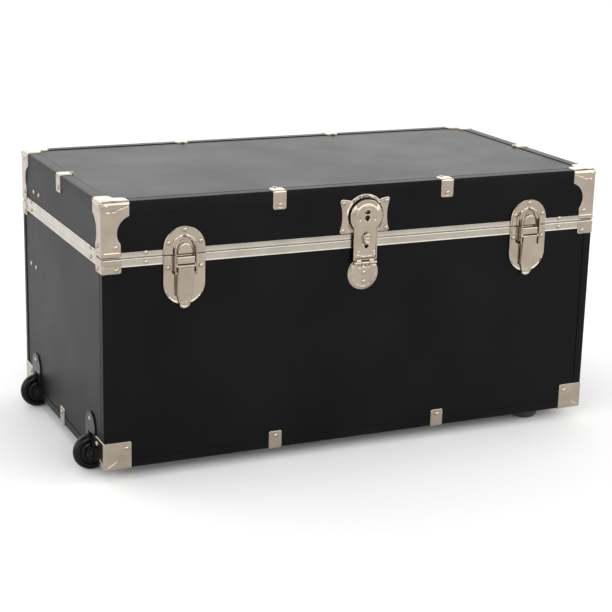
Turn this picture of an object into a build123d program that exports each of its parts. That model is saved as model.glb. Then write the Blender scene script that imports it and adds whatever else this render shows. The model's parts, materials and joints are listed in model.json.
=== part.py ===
from build123d import *
import math
import os

# A wheeled footlocker: a plywood trunk with black bindings, nickel-plated hardware, a hinged
# lid, two side latches, a centre hasp lock, two wheels, two glide feet and a carrying handle.
# Row frame: +X to the right along the length, +Y to the back, +Z up, floor at z = 0.

# Driving dimensions, mm
LENGTH = 762.0
DEPTH = 400.0
HEIGHT = 370.0
LID_HEIGHT = 76.0
PANEL = 6.0
FLOOR_GAP = 19.0
FRONT_REACH = 13.6
BACK_REACH = 7.2

# Faces of the case
CENTRE_Y = (FRONT_REACH - BACK_REACH) / 2
LEFT = -LENGTH / 2
RIGHT = LENGTH / 2
FRONT = CENTRE_Y - DEPTH / 2
BACK = CENTRE_Y + DEPTH / 2
BASE = FLOOR_GAP
TOP = BASE + HEIGHT
SEAM = TOP - LID_HEIGHT

# Rails along the seam
RAIL_WEB = 1.0
SEAM_GAP = 0.2
RIM = RAIL_WEB + SEAM_GAP
RAIL_SHEET = 1.2
BEAD = 0.9
BODY_RAIL = 12.0
LID_RAIL = 8.5
TONGUE_RISE = 5.5
TONGUE_CLEAR = 0.5

# Edge bindings, corner caps and edge clamps
BINDING = 0.8
LID_BINDING_LEG = 16.5
BASE_BINDING_LEG = 11.5
POST_BINDING_LEG = 12.0
STAMPED = 1.0
CAP = BINDING + STAMPED
LID_CAP_REACH = 37.0
LID_CAP_WAIST = 20.0
LID_CAP_FOOT = 25.0
LID_CAP_DROP = LID_HEIGHT - 2.2
CAP_ARC_DROP = 42.0
CAP_ARC = 24.0
LOBE_DEPTH = 22.0
SEAM_CORNER_REACH = 25.5
SEAM_CORNER_DROP = 20.0
BASE_CAP_REACH = 38.0
CLAMP_WIDTH = 20.0
CLAMP_LEG = 25.0
CLAMP_X = 130.0
CLAMP_RIVET = 18.0

# Rivets
RIVET_HEAD = 2.8
RIVET_CROWN = 1.5
RIVET_RISE = 1.4
RIVET_SHANK = 1.2
RIVET_LENGTH = 5.5
RIVET_FIT = 0.05

# Side latches, measured from the seam
LATCH_X = 268.0
LATCH_HALF = 30.0
LATCH_PLATE = 3.0
PLATE_SHEET = 1.2
PLATE_RIM = 1.5
LATCH_TOP = 39.0
LATCH_BOTTOM = -69.4
PLATE_GAP = 0.6
CATCH_HALF = 10.4
CATCH_TOP = 18.0
CATCH_PROUD = 8.1
BRACKET_HALF = 13.4
BRACKET_PROUD = 9.2
BRACKET_TOP = -1.5
BRACKET_BOTTOM = -12.4
EAR = 1.0
LEVER_PIVOT_OUT = 9.0
LEVER_PIVOT_UP = -15.2
BARREL = 2.3
LEVER_HALF = 11.8
LEVER_SHEET = 1.2
LEVER_TIP_OUT = 4.9
LEVER_TIP_UP = -66.0
LEVER_TIP = 9.2
LATCH_PIN = 1.2
LOOP_PIVOT_OUT = 7.4
LOOP_PIVOT_UP = -24.2
LOOP_INNER = 13.9
LOOP_STRAP = 1.8
LOOP_TOP = 24.0
LOOP_BACK = 3.8
LOOP_FRONT = 11.2
LOOP_ARCH_BACK = 8.6
LOOP_STUD = 1.38
RUNNING = 0.07

# Centre lock, measured from the seam
STRIKE_SHEET = 1.6
BOSS_UP = 33.0
STRIKE_ARCH = 31.4
HASP_BACK = 5.0
HASP_PLATE = 7.0
HASP_FACE = 9.6
HEAD = 25.0
HEAD_FACE = 17.0
HEAD_PROUD = 10.5
SHANK_HALF = 18.5
SHANK_FACE_HALF = 14.0
HASP_PIVOT_OUT = 7.6
HASP_PIVOT_UP = -33.0
HASP_KNUCKLE = 2.6
HASP_PIN = 1.3
DISC_UP = -51.0
DISC = 24.6
DISC_FACE = 19.0
PLUG = 4.5
PLUG_UP = 34.0
KNOB_UP = 2.0

# Wheels and feet
WHEEL = 26.0
WHEEL_WIDTH = 16.0
WHEEL_Y = 140.0
WHEEL_OUT = 1.0
AXLE = 3.0
AXLE_HEAD = 4.2
AXLE_X = LEFT - WHEEL_OUT
POCKET = WHEEL + 2.5
POCKET_WALL = 2.0
POCKET_HALF = WHEEL_WIDTH / 2 + 0.8
HOUSING_HALF = 21.5
HOUSING_TOP = 65.0
FOOT = 22.0
FOOT_X = 306.0
FOOT_Y = 162.0

# Handle on the right end, measured from the floor
HANDLE_UP = 235.0
HANDLE_OUT = 9.0
HANDLE_Y = 76.0
HANDLE_DROP = 52.0
GRIP = 10.0
GRIP_OUT = 17.0
HANDLE_PIN = 3.0
ARM_HALF = 3.0

# Hinges on the back
HINGE_X = (-240.0, 0.0, 240.0)
HINGE_OUT = 4.0
HINGE_HALF = 25.0
HINGE_LEAF = 28.0
HINGE_SHEET = 3.0
HINGE_KNUCKLE = 3.2
HINGE_PIN = 1.6
HINGE_KNUCKLES = 5

# Lid stay inside the left end: points are (y, z) from the case's centre and the box underside
STAY_LID = (123.0, 318.0)
STAY_BODY = (146.0, 203.0)
STAY_ELBOW = (61.57, 245.91)
STAY_BAR = 5.5
STAY_SHEET = 1.5
STAY_PIN = 2.5
STAY_PLATE_HALF = 19.0
STAY_INSET = 2.2

UP = Vector(0, 0, 1)
OUTWARDS = {
    "front": Vector(0, -1, 0),
    "back": Vector(0, 1, 0),
    "left": Vector(-1, 0, 0),
    "right": Vector(1, 0, 0),
}
WALL_MIDDLE = {
    "front": Vector(0, FRONT, 0),
    "back": Vector(0, BACK, 0),
    "left": Vector(LEFT, CENTRE_Y, 0),
    "right": Vector(RIGHT, CENTRE_Y, 0),
}
WALL_LENGTH = {"front": LENGTH, "back": LENGTH, "left": DEPTH, "right": DEPTH}
CLAMP_PLACES = (("front", -CLAMP_X), ("front", CLAMP_X), ("back", -CLAMP_X), ("back", CLAMP_X))
CLAMP_PLACES += (("left", 0.0), ("right", 0.0))
MIRROR_X = Plane.YZ
MIRROR_Y = Plane((0, CENTRE_Y, 0), x_dir=(1, 0, 0), z_dir=(0, 1, 0))
ON_TOP = (Align.CENTER, Align.CENTER, Align.MIN)
BELOW = (Align.CENTER, Align.CENTER, Align.MAX)

os.makedirs("parts", exist_ok=True)


def on_wall(wall, along, height, proud=0.0):
    """A plane on a wall: x to the right seen from outside, y up and z outwards."""
    out = OUTWARDS[wall]
    right = UP.cross(out)
    origin = WALL_MIDDLE[wall] + right * along + UP * height + out * proud
    return Plane(origin, x_dir=right, z_dir=out)


def across_wall(wall, along, height):
    """A plane that cuts a wall square: x outwards and y up."""
    out = OUTWARDS[wall]
    origin = WALL_MIDDLE[wall] + UP.cross(out) * along + UP * height
    return Plane(origin, x_dir=out, z_dir=out.cross(UP))


def block(plane, width, height, low, high, centre=(0, 0), mode=Mode.ADD):
    """A rectangle on a plane, raised from low to high along its normal."""
    with BuildSketch(plane.offset(low)) as outline:
        with Locations(centre):
            Rectangle(width, height)
    extrude(outline.sketch, amount=high - low, mode=mode)


def disc(plane, radius, low, high, centre=(0, 0), mode=Mode.ADD):
    """A disc on a plane, raised from low to high along its normal."""
    with BuildSketch(plane.offset(low)) as outline:
        with Locations(centre):
            Circle(radius)
    extrude(outline.sketch, amount=high - low, mode=mode)


def punch(planes):
    """Holes for rivet shanks, cut inwards from the planes that the heads sit on."""
    with Locations(*planes):
        Cylinder(RIVET_SHANK + RIVET_FIT, RIVET_LENGTH + 1, align=BELOW, mode=Mode.SUBTRACT)


def rivets(planes):
    """Rivets whose heads sit on the planes and whose shanks are driven inwards."""
    with Locations(*planes):
        Cone(RIVET_HEAD, RIVET_CROWN, RIVET_RISE, align=ON_TOP)
        Cylinder(RIVET_SHANK, RIVET_LENGTH, align=BELOW)


def save(shape, name):
    shape.label = name
    export_step(shape, f"parts/{name}.step")


def box_panel(x_range, y_range, z_range):
    """A flat panel given by its limits along each axis."""
    size = [high - low for low, high in (x_range, y_range, z_range)]
    middle = [(high + low) / 2 for low, high in (x_range, y_range, z_range)]
    with Locations(tuple(middle)):
        Box(*size)


# ---------------------------------------------------------------------------------------
# Body panels
# ---------------------------------------------------------------------------------------
BODY_Z = (BASE, SEAM - RIM)
INSIDE_X = (LEFT + PANEL, RIGHT - PANEL)
INSIDE_Y = (FRONT + PANEL, BACK - PANEL)
NOTCH_X = AXLE_X + POCKET + POCKET_WALL + 0.5
NOTCH_TOP = WHEEL + POCKET + POCKET_WALL + 0.5
NOTCH_HALF = POCKET_HALF + POCKET_WALL + 1.6


def wheel_notches(x_range, z_range):
    """Openings that let the two wheel housings into a panel."""
    for side in (-1, 1):
        middle = CENTRE_Y + side * WHEEL_Y
        size_x = x_range[1] - x_range[0]
        size_z = z_range[1] - z_range[0]
        with Locations((sum(x_range) / 2, middle, sum(z_range) / 2)):
            Box(size_x, 2 * NOTCH_HALF, size_z, mode=Mode.SUBTRACT)


with BuildPart() as front_panel:
    box_panel((LEFT, RIGHT), (FRONT, FRONT + PANEL), BODY_Z)
save(front_panel.part, "front_panel")

with BuildPart() as back_panel:
    box_panel((LEFT, RIGHT), (BACK - PANEL, BACK), BODY_Z)
save(back_panel.part, "back_panel")

with BuildPart() as left_end_panel:
    box_panel((LEFT, LEFT + PANEL), INSIDE_Y, BODY_Z)
    wheel_notches((LEFT - 1, LEFT + PANEL + 1), (BASE - 1, NOTCH_TOP))
save(left_end_panel.part, "left_end_panel")

with BuildPart() as right_end_panel:
    box_panel((RIGHT - PANEL, RIGHT), INSIDE_Y, BODY_Z)
save(right_end_panel.part, "right_end_panel")

with BuildPart() as bottom_panel:
    box_panel(INSIDE_X, INSIDE_Y, (BASE, BASE + PANEL))
    wheel_notches((LEFT, NOTCH_X), (BASE - 1, BASE + PANEL + 1))
save(bottom_panel.part, "bottom_panel")

# ---------------------------------------------------------------------------------------
# Lid panels
# ---------------------------------------------------------------------------------------
LID_Z = (SEAM + RIM, TOP - PANEL)

with BuildPart() as lid_top_panel:
    box_panel((LEFT, RIGHT), (FRONT, BACK), (TOP - PANEL, TOP))
save(lid_top_panel.part, "lid_top_panel")

with BuildPart() as lid_front_panel:
    box_panel((LEFT, RIGHT), (FRONT, FRONT + PANEL), LID_Z)
save(lid_front_panel.part, "lid_front_panel")

with BuildPart() as lid_back_panel:
    box_panel((LEFT, RIGHT), (BACK - PANEL, BACK), LID_Z)
save(lid_back_panel.part, "lid_back_panel")

with BuildPart() as lid_left_panel:
    box_panel((LEFT, LEFT + PANEL), INSIDE_Y, LID_Z)
save(lid_left_panel.part, "lid_left_panel")

with BuildPart() as lid_right_panel:
    box_panel((RIGHT - PANEL, RIGHT), INSIDE_Y, LID_Z)
save(lid_right_panel.part, "lid_right_panel")


# ---------------------------------------------------------------------------------------
# Rails along the seam: a beaded strip on each wall and a web over the rim of the panels
# ---------------------------------------------------------------------------------------
def beaded_strips(low, high, bead_heights, corner_reach):
    """Strips on the four walls, from low to high above the seam, with lengthwise beads."""
    for wall in OUTWARDS:
        half = WALL_LENGTH[wall] / 2 - corner_reach
        with BuildSketch(across_wall(wall, 0, SEAM)) as profile:
            with Locations((RAIL_SHEET / 2, (low + high) / 2)):
                Rectangle(RAIL_SHEET, high - low)
            with Locations(*[(RAIL_SHEET, height) for height in bead_heights]):
                Circle(BEAD)
        extrude(profile.sketch, amount=half, both=True)


def rim_ring(low, high, outer, inner):
    """A rectangular ring inside the case outline, between two insets from the outer faces."""
    with BuildSketch(Plane((0, CENTRE_Y, SEAM + low))) as ring:
        Rectangle(LENGTH - 2 * outer, DEPTH - 2 * outer)
        Rectangle(LENGTH - 2 * inner, DEPTH - 2 * inner, mode=Mode.SUBTRACT)
    extrude(ring.sketch, amount=high - low)


def hinge_recesses():
    """Room for the hinge knuckles, cut out of a rail on the back wall."""
    for x in HINGE_X:
        disc(across_wall("back", -x, SEAM), HINGE_KNUCKLE + 0.4, -HINGE_HALF - 0.5,
             HINGE_HALF + 0.5, (HINGE_OUT, 0), Mode.SUBTRACT)


TONGUE_INSET = PANEL + TONGUE_CLEAR
TONGUE = 1.0

with BuildPart() as body_rail:
    beaded_strips(-BODY_RAIL, -SEAM_GAP, (-2.4, -6.4, -10.4), SEAM_CORNER_REACH)
    rim_ring(-RIM, -SEAM_GAP, 0, TONGUE_INSET + TONGUE)
    rim_ring(-SEAM_GAP - 6, TONGUE_RISE, TONGUE_INSET, TONGUE_INSET + TONGUE)
    # The back wall keeps a flat rim, so the lid stay can pass over it
    with Locations((0, BACK - TONGUE_INSET, SEAM + TONGUE_RISE / 2)):
        Box(LENGTH, 2 * TONGUE + 2, TONGUE_RISE + 2 * SEAM_GAP, mode=Mode.SUBTRACT)
    hinge_recesses()
save(body_rail.part, "body_rail")

with BuildPart() as lid_rail:
    beaded_strips(SEAM_GAP, LID_RAIL, (2.4, 6.4), LID_CAP_FOOT)
    rim_ring(SEAM_GAP, RIM, 0, PANEL)
    hinge_recesses()
save(lid_rail.part, "lid_rail")


# ---------------------------------------------------------------------------------------
# Bindings: black strips folded over the edges
# ---------------------------------------------------------------------------------------
def folded_strip(wall, half_length, edge_height, leg, direction):
    """An L section over the edge of a wall; direction is 1 on a top edge, -1 on a bottom one."""
    points = ((BINDING, BINDING), (BINDING, -leg), (0, -leg), (0, 0), (-leg, 0), (-leg, BINDING))
    with BuildSketch(across_wall(wall, 0, edge_height)) as profile:
        Polygon(*[(out, up * direction) for out, up in points], align=None)
    extrude(profile.sketch, amount=half_length, both=True)


with BuildPart() as lid_edge_bindings:
    for wall in OUTWARDS:
        folded_strip(wall, WALL_LENGTH[wall] / 2 - LID_CAP_REACH, TOP, LID_BINDING_LEG, 1)
save(lid_edge_bindings.part, "lid_edge_bindings")

with BuildPart() as base_edge_bindings:
    for wall in OUTWARDS:
        folded_strip(wall, WALL_LENGTH[wall] / 2 - BASE_CAP_REACH, BASE, BASE_BINDING_LEG, -1)
    # The strip under the left end is cut away where the wheel housings stand
    for side in (-1, 1):
        with Locations((LEFT, CENTRE_Y + side * WHEEL_Y, BASE)):
            Box(2 * BASE_BINDING_LEG + 2, 2 * HOUSING_HALF, 2 * BASE_BINDING_LEG + 2,
                mode=Mode.SUBTRACT)
save(base_edge_bindings.part, "base_edge_bindings")

POST_LOW = BASE + BASE_CAP_REACH
POST_HIGH = SEAM - SEAM_CORNER_DROP
with BuildPart() as body_corner_bindings:
    with BuildSketch(Plane((LEFT, FRONT, POST_LOW))):
        leg = POST_BINDING_LEG
        Polygon((-BINDING, -BINDING), (leg, -BINDING), (leg, 0), (0, 0), (0, leg),
                (-BINDING, leg), align=None)
    extrude(amount=POST_HIGH - POST_LOW)
    mirror(about=MIRROR_X)
    mirror(about=MIRROR_Y)
save(body_corner_bindings.part, "body_corner_bindings")

# ---------------------------------------------------------------------------------------
# Corner pieces. Each is drawn on the front-left corner and mirrored to the other three.
# ---------------------------------------------------------------------------------------
def cap_outline(plane):
    """The lid cap's flange: wide at the top, drawn in to a waist, wider again at its foot."""
    reach, waist, foot = LID_CAP_REACH, LID_CAP_WAIST, LID_CAP_FOOT
    centre_in = waist + CAP_ARC
    rise = math.sqrt(CAP_ARC**2 - (centre_in - reach) ** 2)
    fall = math.sqrt(CAP_ARC**2 - (centre_in - foot) ** 2)
    with BuildSketch(plane) as outline:
        with BuildLine():
            Polyline((-CAP, -CAP), (reach, -CAP), (reach, CAP_ARC_DROP - rise))
            ThreePointArc((reach, CAP_ARC_DROP - rise), (waist, CAP_ARC_DROP),
                          (foot, CAP_ARC_DROP + fall))
            Polyline((foot, CAP_ARC_DROP + fall), (foot, LID_CAP_DROP), (-CAP, LID_CAP_DROP),
                     (-CAP, -CAP))
        make_face()
    return outline


CAP_RIVET_IN = 17.3
CAP_RIVET_DROP = 60.0


def corner_planes(inset, height, proud):
    """Planes for one fastener near each vertical edge on all four walls."""
    planes = []
    for wall in OUTWARDS:
        half = WALL_LENGTH[wall] / 2 - inset
        planes += [on_wall(wall, -half, height, proud), on_wall(wall, half, height, proud)]
    return planes


LID_CAP_RIVETS = corner_planes(CAP_RIVET_IN, TOP - CAP_RIVET_DROP, CAP)

with BuildPart() as lid_corner_caps:
    front_flange = cap_outline(Plane((LEFT, FRONT, TOP), x_dir=(1, 0, 0), z_dir=(0, 1, 0)))
    extrude(front_flange.sketch, amount=CAP, dir=OUTWARDS["front"])
    side_flange = cap_outline(Plane((LEFT, FRONT, TOP), x_dir=(0, 1, 0), z_dir=(-1, 0, 0)))
    extrude(side_flange.sketch, amount=CAP, dir=OUTWARDS["left"])
    with BuildSketch(Plane((LEFT, FRONT, TOP))) as top_flange:
        with BuildLine():
            FilletPolyline((LID_CAP_REACH, -CAP), (LID_CAP_REACH, LOBE_DEPTH),
                           (LOBE_DEPTH, LOBE_DEPTH), (LOBE_DEPTH, LID_CAP_REACH),
                           (-CAP, LID_CAP_REACH), radius=7)
            Polyline((-CAP, LID_CAP_REACH), (-CAP, -CAP), (LID_CAP_REACH, -CAP))
        make_face()
    extrude(top_flange.sketch, amount=CAP)
    mirror(about=MIRROR_X)
    mirror(about=MIRROR_Y)
    punch(LID_CAP_RIVETS)
save(lid_corner_caps.part, "lid_corner_caps")


def square_flange(plane, reach, drop, outwards, thickness):
    """A square flange that starts at the corner, with its free corner rounded."""
    with BuildSketch(plane) as outline:
        with BuildLine():
            FilletPolyline((reach, -thickness), (reach, drop), (-thickness, drop), radius=3.5)
            Polyline((-thickness, drop), (-thickness, -thickness), (reach, -thickness))
        make_face()
    extrude(outline.sketch, amount=thickness, dir=outwards)


BASE_CAP_RIVET = 28.5
BASE_CAP_RIVETS = corner_planes(BASE_CAP_RIVET + 1.5, BASE + BASE_CAP_RIVET, CAP)

with BuildPart() as base_corner_caps:
    square_flange(Plane((LEFT, FRONT, BASE), x_dir=(1, 0, 0), z_dir=(0, -1, 0)),
                  BASE_CAP_REACH, BASE_CAP_REACH, OUTWARDS["front"], CAP)
    square_flange(Plane((LEFT, FRONT, BASE), x_dir=(0, 1, 0), z_dir=(1, 0, 0)),
                  BASE_CAP_REACH, BASE_CAP_REACH, OUTWARDS["left"], CAP)
    square_flange(Plane((LEFT, FRONT, BASE)),
                  BASE_CAP_REACH, BASE_CAP_REACH, -UP, CAP)
    mirror(about=MIRROR_X)
    mirror(about=MIRROR_Y)
    punch(BASE_CAP_RIVETS)
save(base_corner_caps.part, "base_corner_caps")

SEAM_CORNER_RIVETS = corner_planes(17.8, SEAM - 14.6, CAP)
with BuildPart() as seam_corner_plates:
    with BuildSketch(Plane((LEFT, FRONT, SEAM - SEAM_CORNER_DROP))):
        reach = SEAM_CORNER_REACH
        Polygon((-CAP, -CAP), (reach, -CAP), (reach, 0), (0, 0), (0, reach), (-CAP, reach),
                align=None)
    extrude(amount=SEAM_CORNER_DROP - SEAM_GAP)
    mirror(about=MIRROR_X)
    mirror(about=MIRROR_Y)
    punch(SEAM_CORNER_RIVETS)
save(seam_corner_plates.part, "seam_corner_plates")


# ---------------------------------------------------------------------------------------
# Edge clamps: stamped clips folded over the bindings
# ---------------------------------------------------------------------------------------
def edge_clamp(wall, along, edge_height, binding_leg, direction):
    """A clip over an edge, stepped so it lies on the binding and on the panel beyond it."""
    points = (
        (CAP, CAP), (CAP, -CLAMP_LEG), (0, -CLAMP_LEG), (0, -binding_leg),
        (BINDING, -binding_leg), (BINDING, BINDING), (-binding_leg, BINDING),
        (-binding_leg, 0), (-CLAMP_LEG, 0), (-CLAMP_LEG, CAP),
    )
    with BuildSketch(across_wall(wall, along, edge_height)) as profile:
        Polygon(*[(out, up * direction) for out, up in points], align=None)
    extrude(profile.sketch, amount=CLAMP_WIDTH / 2, both=True)


def flat_rivet_planes(height, direction):
    """Planes on the top or bottom of the case for one rivet in each clamp's flat leg."""
    planes = []
    for wall, along in CLAMP_PLACES:
        out = OUTWARDS[wall]
        origin = WALL_MIDDLE[wall] + UP.cross(out) * along - out * CLAMP_RIVET
        planes.append(Plane(origin + UP * (height + CAP * direction), z_dir=UP * direction))
    return planes


def clamp_rivets(edge_height, direction):
    walls = [on_wall(wall, along, edge_height - CLAMP_RIVET * direction, CAP)
             for wall, along in CLAMP_PLACES]
    return walls + flat_rivet_planes(edge_height, direction)


LID_CLAMP_RIVETS = clamp_rivets(TOP, 1)
BASE_CLAMP_RIVETS = clamp_rivets(BASE, -1)

with BuildPart() as lid_edge_clamps:
    for wall, along in CLAMP_PLACES:
        edge_clamp(wall, along, TOP, LID_BINDING_LEG, 1)
    punch(LID_CLAMP_RIVETS)
save(lid_edge_clamps.part, "lid_edge_clamps")

with BuildPart() as base_edge_clamps:
    for wall, along in CLAMP_PLACES:
        edge_clamp(wall, along, BASE, BASE_BINDING_LEG, -1)
    punch(BASE_CLAMP_RIVETS)
save(base_edge_clamps.part, "base_edge_clamps")


# ---------------------------------------------------------------------------------------
# Side latches
# ---------------------------------------------------------------------------------------
def latch_plate_outline(plane, inset, level, end, gap):
    """Half a capsule that runs from the seam to a round end."""
    half = LATCH_HALF - inset
    direction = 1 if end > 0 else -1
    round_level = end - direction * LATCH_HALF
    start = direction * (gap + inset)
    with BuildSketch(plane.offset(level)) as outline:
        with BuildLine():
            Polyline((-half, round_level), (-half, start), (half, start), (half, round_level))
            ThreePointArc((half, round_level), (0, round_level + direction * half),
                          (-half, round_level))
        make_face()
    return outline


def latch_plate(x, end):
    """A shallow pressed pan, open at the back, with a flat face and a rim on the wall."""
    plane = on_wall("front", x, SEAM)
    extrude(latch_plate_outline(plane, 0, 0, end, PLATE_GAP).sketch, amount=LATCH_PLATE)
    hollow = latch_plate_outline(plane, PLATE_RIM, 0, end, PLATE_GAP)
    extrude(hollow.sketch, amount=LATCH_PLATE - PLATE_SHEET, mode=Mode.SUBTRACT)


CATCH_RIVET_SPOTS = ((0, 34.0), (-23, 17.0), (23, 17.0))
BASE_RIVET_SPOTS = ((-23.4, -17.0), (23.4, -17.0))
CATCH_RIVETS = [
    on_wall("front", side * LATCH_X + x, SEAM + up, LATCH_PLATE)
    for side in (-1, 1) for x, up in CATCH_RIVET_SPOTS
]
LATCH_BASE_RIVETS = [
    on_wall("front", side * LATCH_X + x, SEAM + up, LATCH_PLATE)
    for side in (-1, 1) for x, up in BASE_RIVET_SPOTS
]

with BuildPart() as latch_catch_plates:
    for side in (-1, 1):
        latch_plate(side * LATCH_X, LATCH_TOP)
    add(lid_rail.part, mode=Mode.SUBTRACT)
    for side in (-1, 1):
        catch_plane = on_wall("front", side * LATCH_X, SEAM)
        with BuildSketch(catch_plane.offset(LATCH_PLATE)):
            catch_round = CATCH_TOP - CATCH_HALF
            with BuildLine():
                Polyline((-CATCH_HALF, catch_round), (-CATCH_HALF, 2 * PLATE_GAP),
                         (CATCH_HALF, 2 * PLATE_GAP), (CATCH_HALF, catch_round))
                ThreePointArc((CATCH_HALF, catch_round), (0, CATCH_TOP),
                              (-CATCH_HALF, catch_round))
            make_face()
        extrude(amount=CATCH_PROUD - LATCH_PLATE, taper=8)
    punch(CATCH_RIVETS)
save(latch_catch_plates.part, "latch_catch_plates")


def latch_bracket(x):
    """The fixed bridge above a lever, with an ear on each side for the lever's pin."""
    plane = on_wall("front", x, SEAM)
    low, high = BRACKET_BOTTOM, BRACKET_TOP
    across = across_wall("front", x, SEAM)
    with BuildSketch(across) as bridge:
        with BuildLine():
            FilletPolyline((LATCH_PLATE, high), (BRACKET_PROUD, high), (BRACKET_PROUD, low),
                           (LATCH_PLATE, low), radius=1.5)
            Line((LATCH_PLATE, low), (LATCH_PLATE, high))
        make_face()
    extrude(bridge.sketch, amount=BRACKET_HALF, both=True)
    for side in (-1, 1):
        with BuildSketch(across.offset(side * (BRACKET_HALF - EAR / 2))) as ear:
            with Locations((LEVER_PIVOT_OUT, LEVER_PIVOT_UP)):
                Circle(BARREL)
            Polygon((LATCH_PLATE, low), (LEVER_PIVOT_OUT, low),
                    (LEVER_PIVOT_OUT, LEVER_PIVOT_UP - BARREL),
                    (LATCH_PLATE, LEVER_PIVOT_UP - BARREL), align=None)
        extrude(ear.sketch, amount=EAR / 2, both=True)
    disc(across, LATCH_PIN, -BRACKET_HALF - 1, BRACKET_HALF + 1,
         (LEVER_PIVOT_OUT, LEVER_PIVOT_UP), Mode.SUBTRACT)


with BuildPart() as latch_base_plates:
    for side in (-1, 1):
        latch_plate(side * LATCH_X, LATCH_BOTTOM)
    add(body_rail.part, mode=Mode.SUBTRACT)
    for side in (-1, 1):
        latch_bracket(side * LATCH_X)
    punch(LATCH_BASE_RIVETS)
save(latch_base_plates.part, "latch_base_plates")

with BuildPart() as latch_hinge_pins:
    for side in (-1, 1):
        disc(across_wall("front", side * LATCH_X, SEAM), LATCH_PIN, -BRACKET_HALF,
             BRACKET_HALF, (LEVER_PIVOT_OUT, LEVER_PIVOT_UP))
save(latch_hinge_pins.part, "latch_hinge_pins")


def lever_face_out(up):
    """How far the lever's face stands off the wall at a height."""
    top_out = LEVER_PIVOT_OUT + BARREL
    share = (LEVER_PIVOT_UP - up) / (LEVER_PIVOT_UP - LEVER_TIP_UP)
    return top_out + (LEVER_TIP_OUT - top_out) * share


FLANGE_TOP = -21.0
FLANGE_BOTTOM = -57.0
FLANGE_BACK = 3.6


def latch_lever(x):
    """A stamped lever: barrel at the top, sloping face with a round tip, two side flanges."""
    plane = on_wall("front", x, SEAM)
    across = across_wall("front", x, SEAM)
    end = LEVER_TIP_UP - LEVER_TIP
    pivot = (LEVER_PIVOT_OUT, LEVER_PIVOT_UP)
    with BuildSketch(across) as face:
        Polygon((lever_face_out(LEVER_PIVOT_UP), LEVER_PIVOT_UP),
                (lever_face_out(end), end), (lever_face_out(end) - LEVER_SHEET, end),
                (lever_face_out(LEVER_PIVOT_UP) - LEVER_SHEET, LEVER_PIVOT_UP), align=None)
    extrude(face.sketch, amount=LEVER_HALF, both=True)
    with BuildSketch(plane) as outline:
        with Locations((0, (LEVER_PIVOT_UP + LEVER_TIP_UP + 6) / 2)):
            Rectangle(2 * LEVER_HALF, LEVER_PIVOT_UP - LEVER_TIP_UP - 6)
        with Locations((0, LEVER_TIP_UP)):
            Circle(LEVER_TIP)
    extrude(outline.sketch, amount=20, mode=Mode.INTERSECT)
    disc(across, BARREL, -LEVER_HALF, LEVER_HALF, pivot)
    for side in (-1, 1):
        middle = side * (LEVER_HALF - LEVER_SHEET / 2)
        with BuildSketch(across.offset(middle)) as flange:
            Polygon((FLANGE_BACK, FLANGE_TOP), (lever_face_out(FLANGE_TOP) - 0.2, FLANGE_TOP),
                    (lever_face_out(FLANGE_BOTTOM) - 0.2, FLANGE_BOTTOM),
                    (FLANGE_BACK, FLANGE_BOTTOM + 2), align=None)
        extrude(flange.sketch, amount=LEVER_SHEET / 2, both=True)
    disc(across, LATCH_PIN + RUNNING, -LEVER_HALF - 1, LEVER_HALF + 1, pivot, Mode.SUBTRACT)
    disc(across, LOOP_STUD + RUNNING, -LEVER_HALF - 1, LEVER_HALF + 1,
         (LOOP_PIVOT_OUT, LOOP_PIVOT_UP), Mode.SUBTRACT)


def latch_loop(x):
    """A strap bent into an arch, whose legs end in studs that turn in the lever's flanges."""
    plane = on_wall("front", x, SEAM)
    across = across_wall("front", x, SEAM)
    outer = LOOP_INNER + LOOP_STRAP
    round_up = LOOP_TOP - outer
    foot = LOOP_PIVOT_UP - 2.6
    with BuildSketch(plane.offset(LOOP_BACK)) as strap:
        with Locations((0, round_up)):
            Circle(outer)
        with Locations((0, (round_up + foot) / 2)):
            Rectangle(2 * outer, round_up - foot)
        with Locations((0, round_up)):
            Circle(LOOP_INNER, mode=Mode.SUBTRACT)
        with Locations((0, (round_up + foot) / 2 - 1)):
            Rectangle(2 * LOOP_INNER, round_up - foot + 2, mode=Mode.SUBTRACT)
    extrude(strap.sketch, amount=LOOP_FRONT - LOOP_BACK)
    # Above the catch the strap is shallow, so the catch can pass behind it
    block(plane, 2 * LOOP_INNER, 2 * LOOP_TOP, LOOP_BACK - 1, LOOP_ARCH_BACK, (0, LOOP_TOP),
          Mode.SUBTRACT)
    for side in (-1, 1):
        start = side * (LOOP_INNER + 0.5)
        reach = side * (LEVER_HALF - LEVER_SHEET - 0.4)
        disc(across, LOOP_STUD, min(start, reach), max(start, reach),
             (LOOP_PIVOT_OUT, LOOP_PIVOT_UP))


with BuildPart() as latch_lever_left:
    latch_lever(-LATCH_X)
save(latch_lever_left.part, "latch_lever_left")

with BuildPart() as latch_lever_right:
    latch_lever(LATCH_X)
save(latch_lever_right.part, "latch_lever_right")

with BuildPart() as latch_loop_left:
    latch_loop(-LATCH_X)
save(latch_loop_left.part, "latch_loop_left")

with BuildPart() as latch_loop_right:
    latch_loop(LATCH_X)
save(latch_loop_right.part, "latch_loop_right")

# ---------------------------------------------------------------------------------------
# Centre lock
# ---------------------------------------------------------------------------------------
LOCK = on_wall("front", 0, SEAM)
LOCK_ACROSS = across_wall("front", 0, SEAM)
EAR_X = 38.5
EAR_LOW = 9.2
EAR_HIGH = 58.5
STRIKE_RIVET_SPOTS = ((-33.5, 53.0), (33.5, 53.0), (-33.5, 14.2), (33.5, 14.2))
STRIKE_RIVETS = [on_wall("front", x, SEAM + up, STRIKE_SHEET) for x, up in STRIKE_RIVET_SPOTS]
DISC_RIVETS = [on_wall("front", 0, SEAM + up, 3.2) for up in (-48.0, -61.0)]

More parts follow.
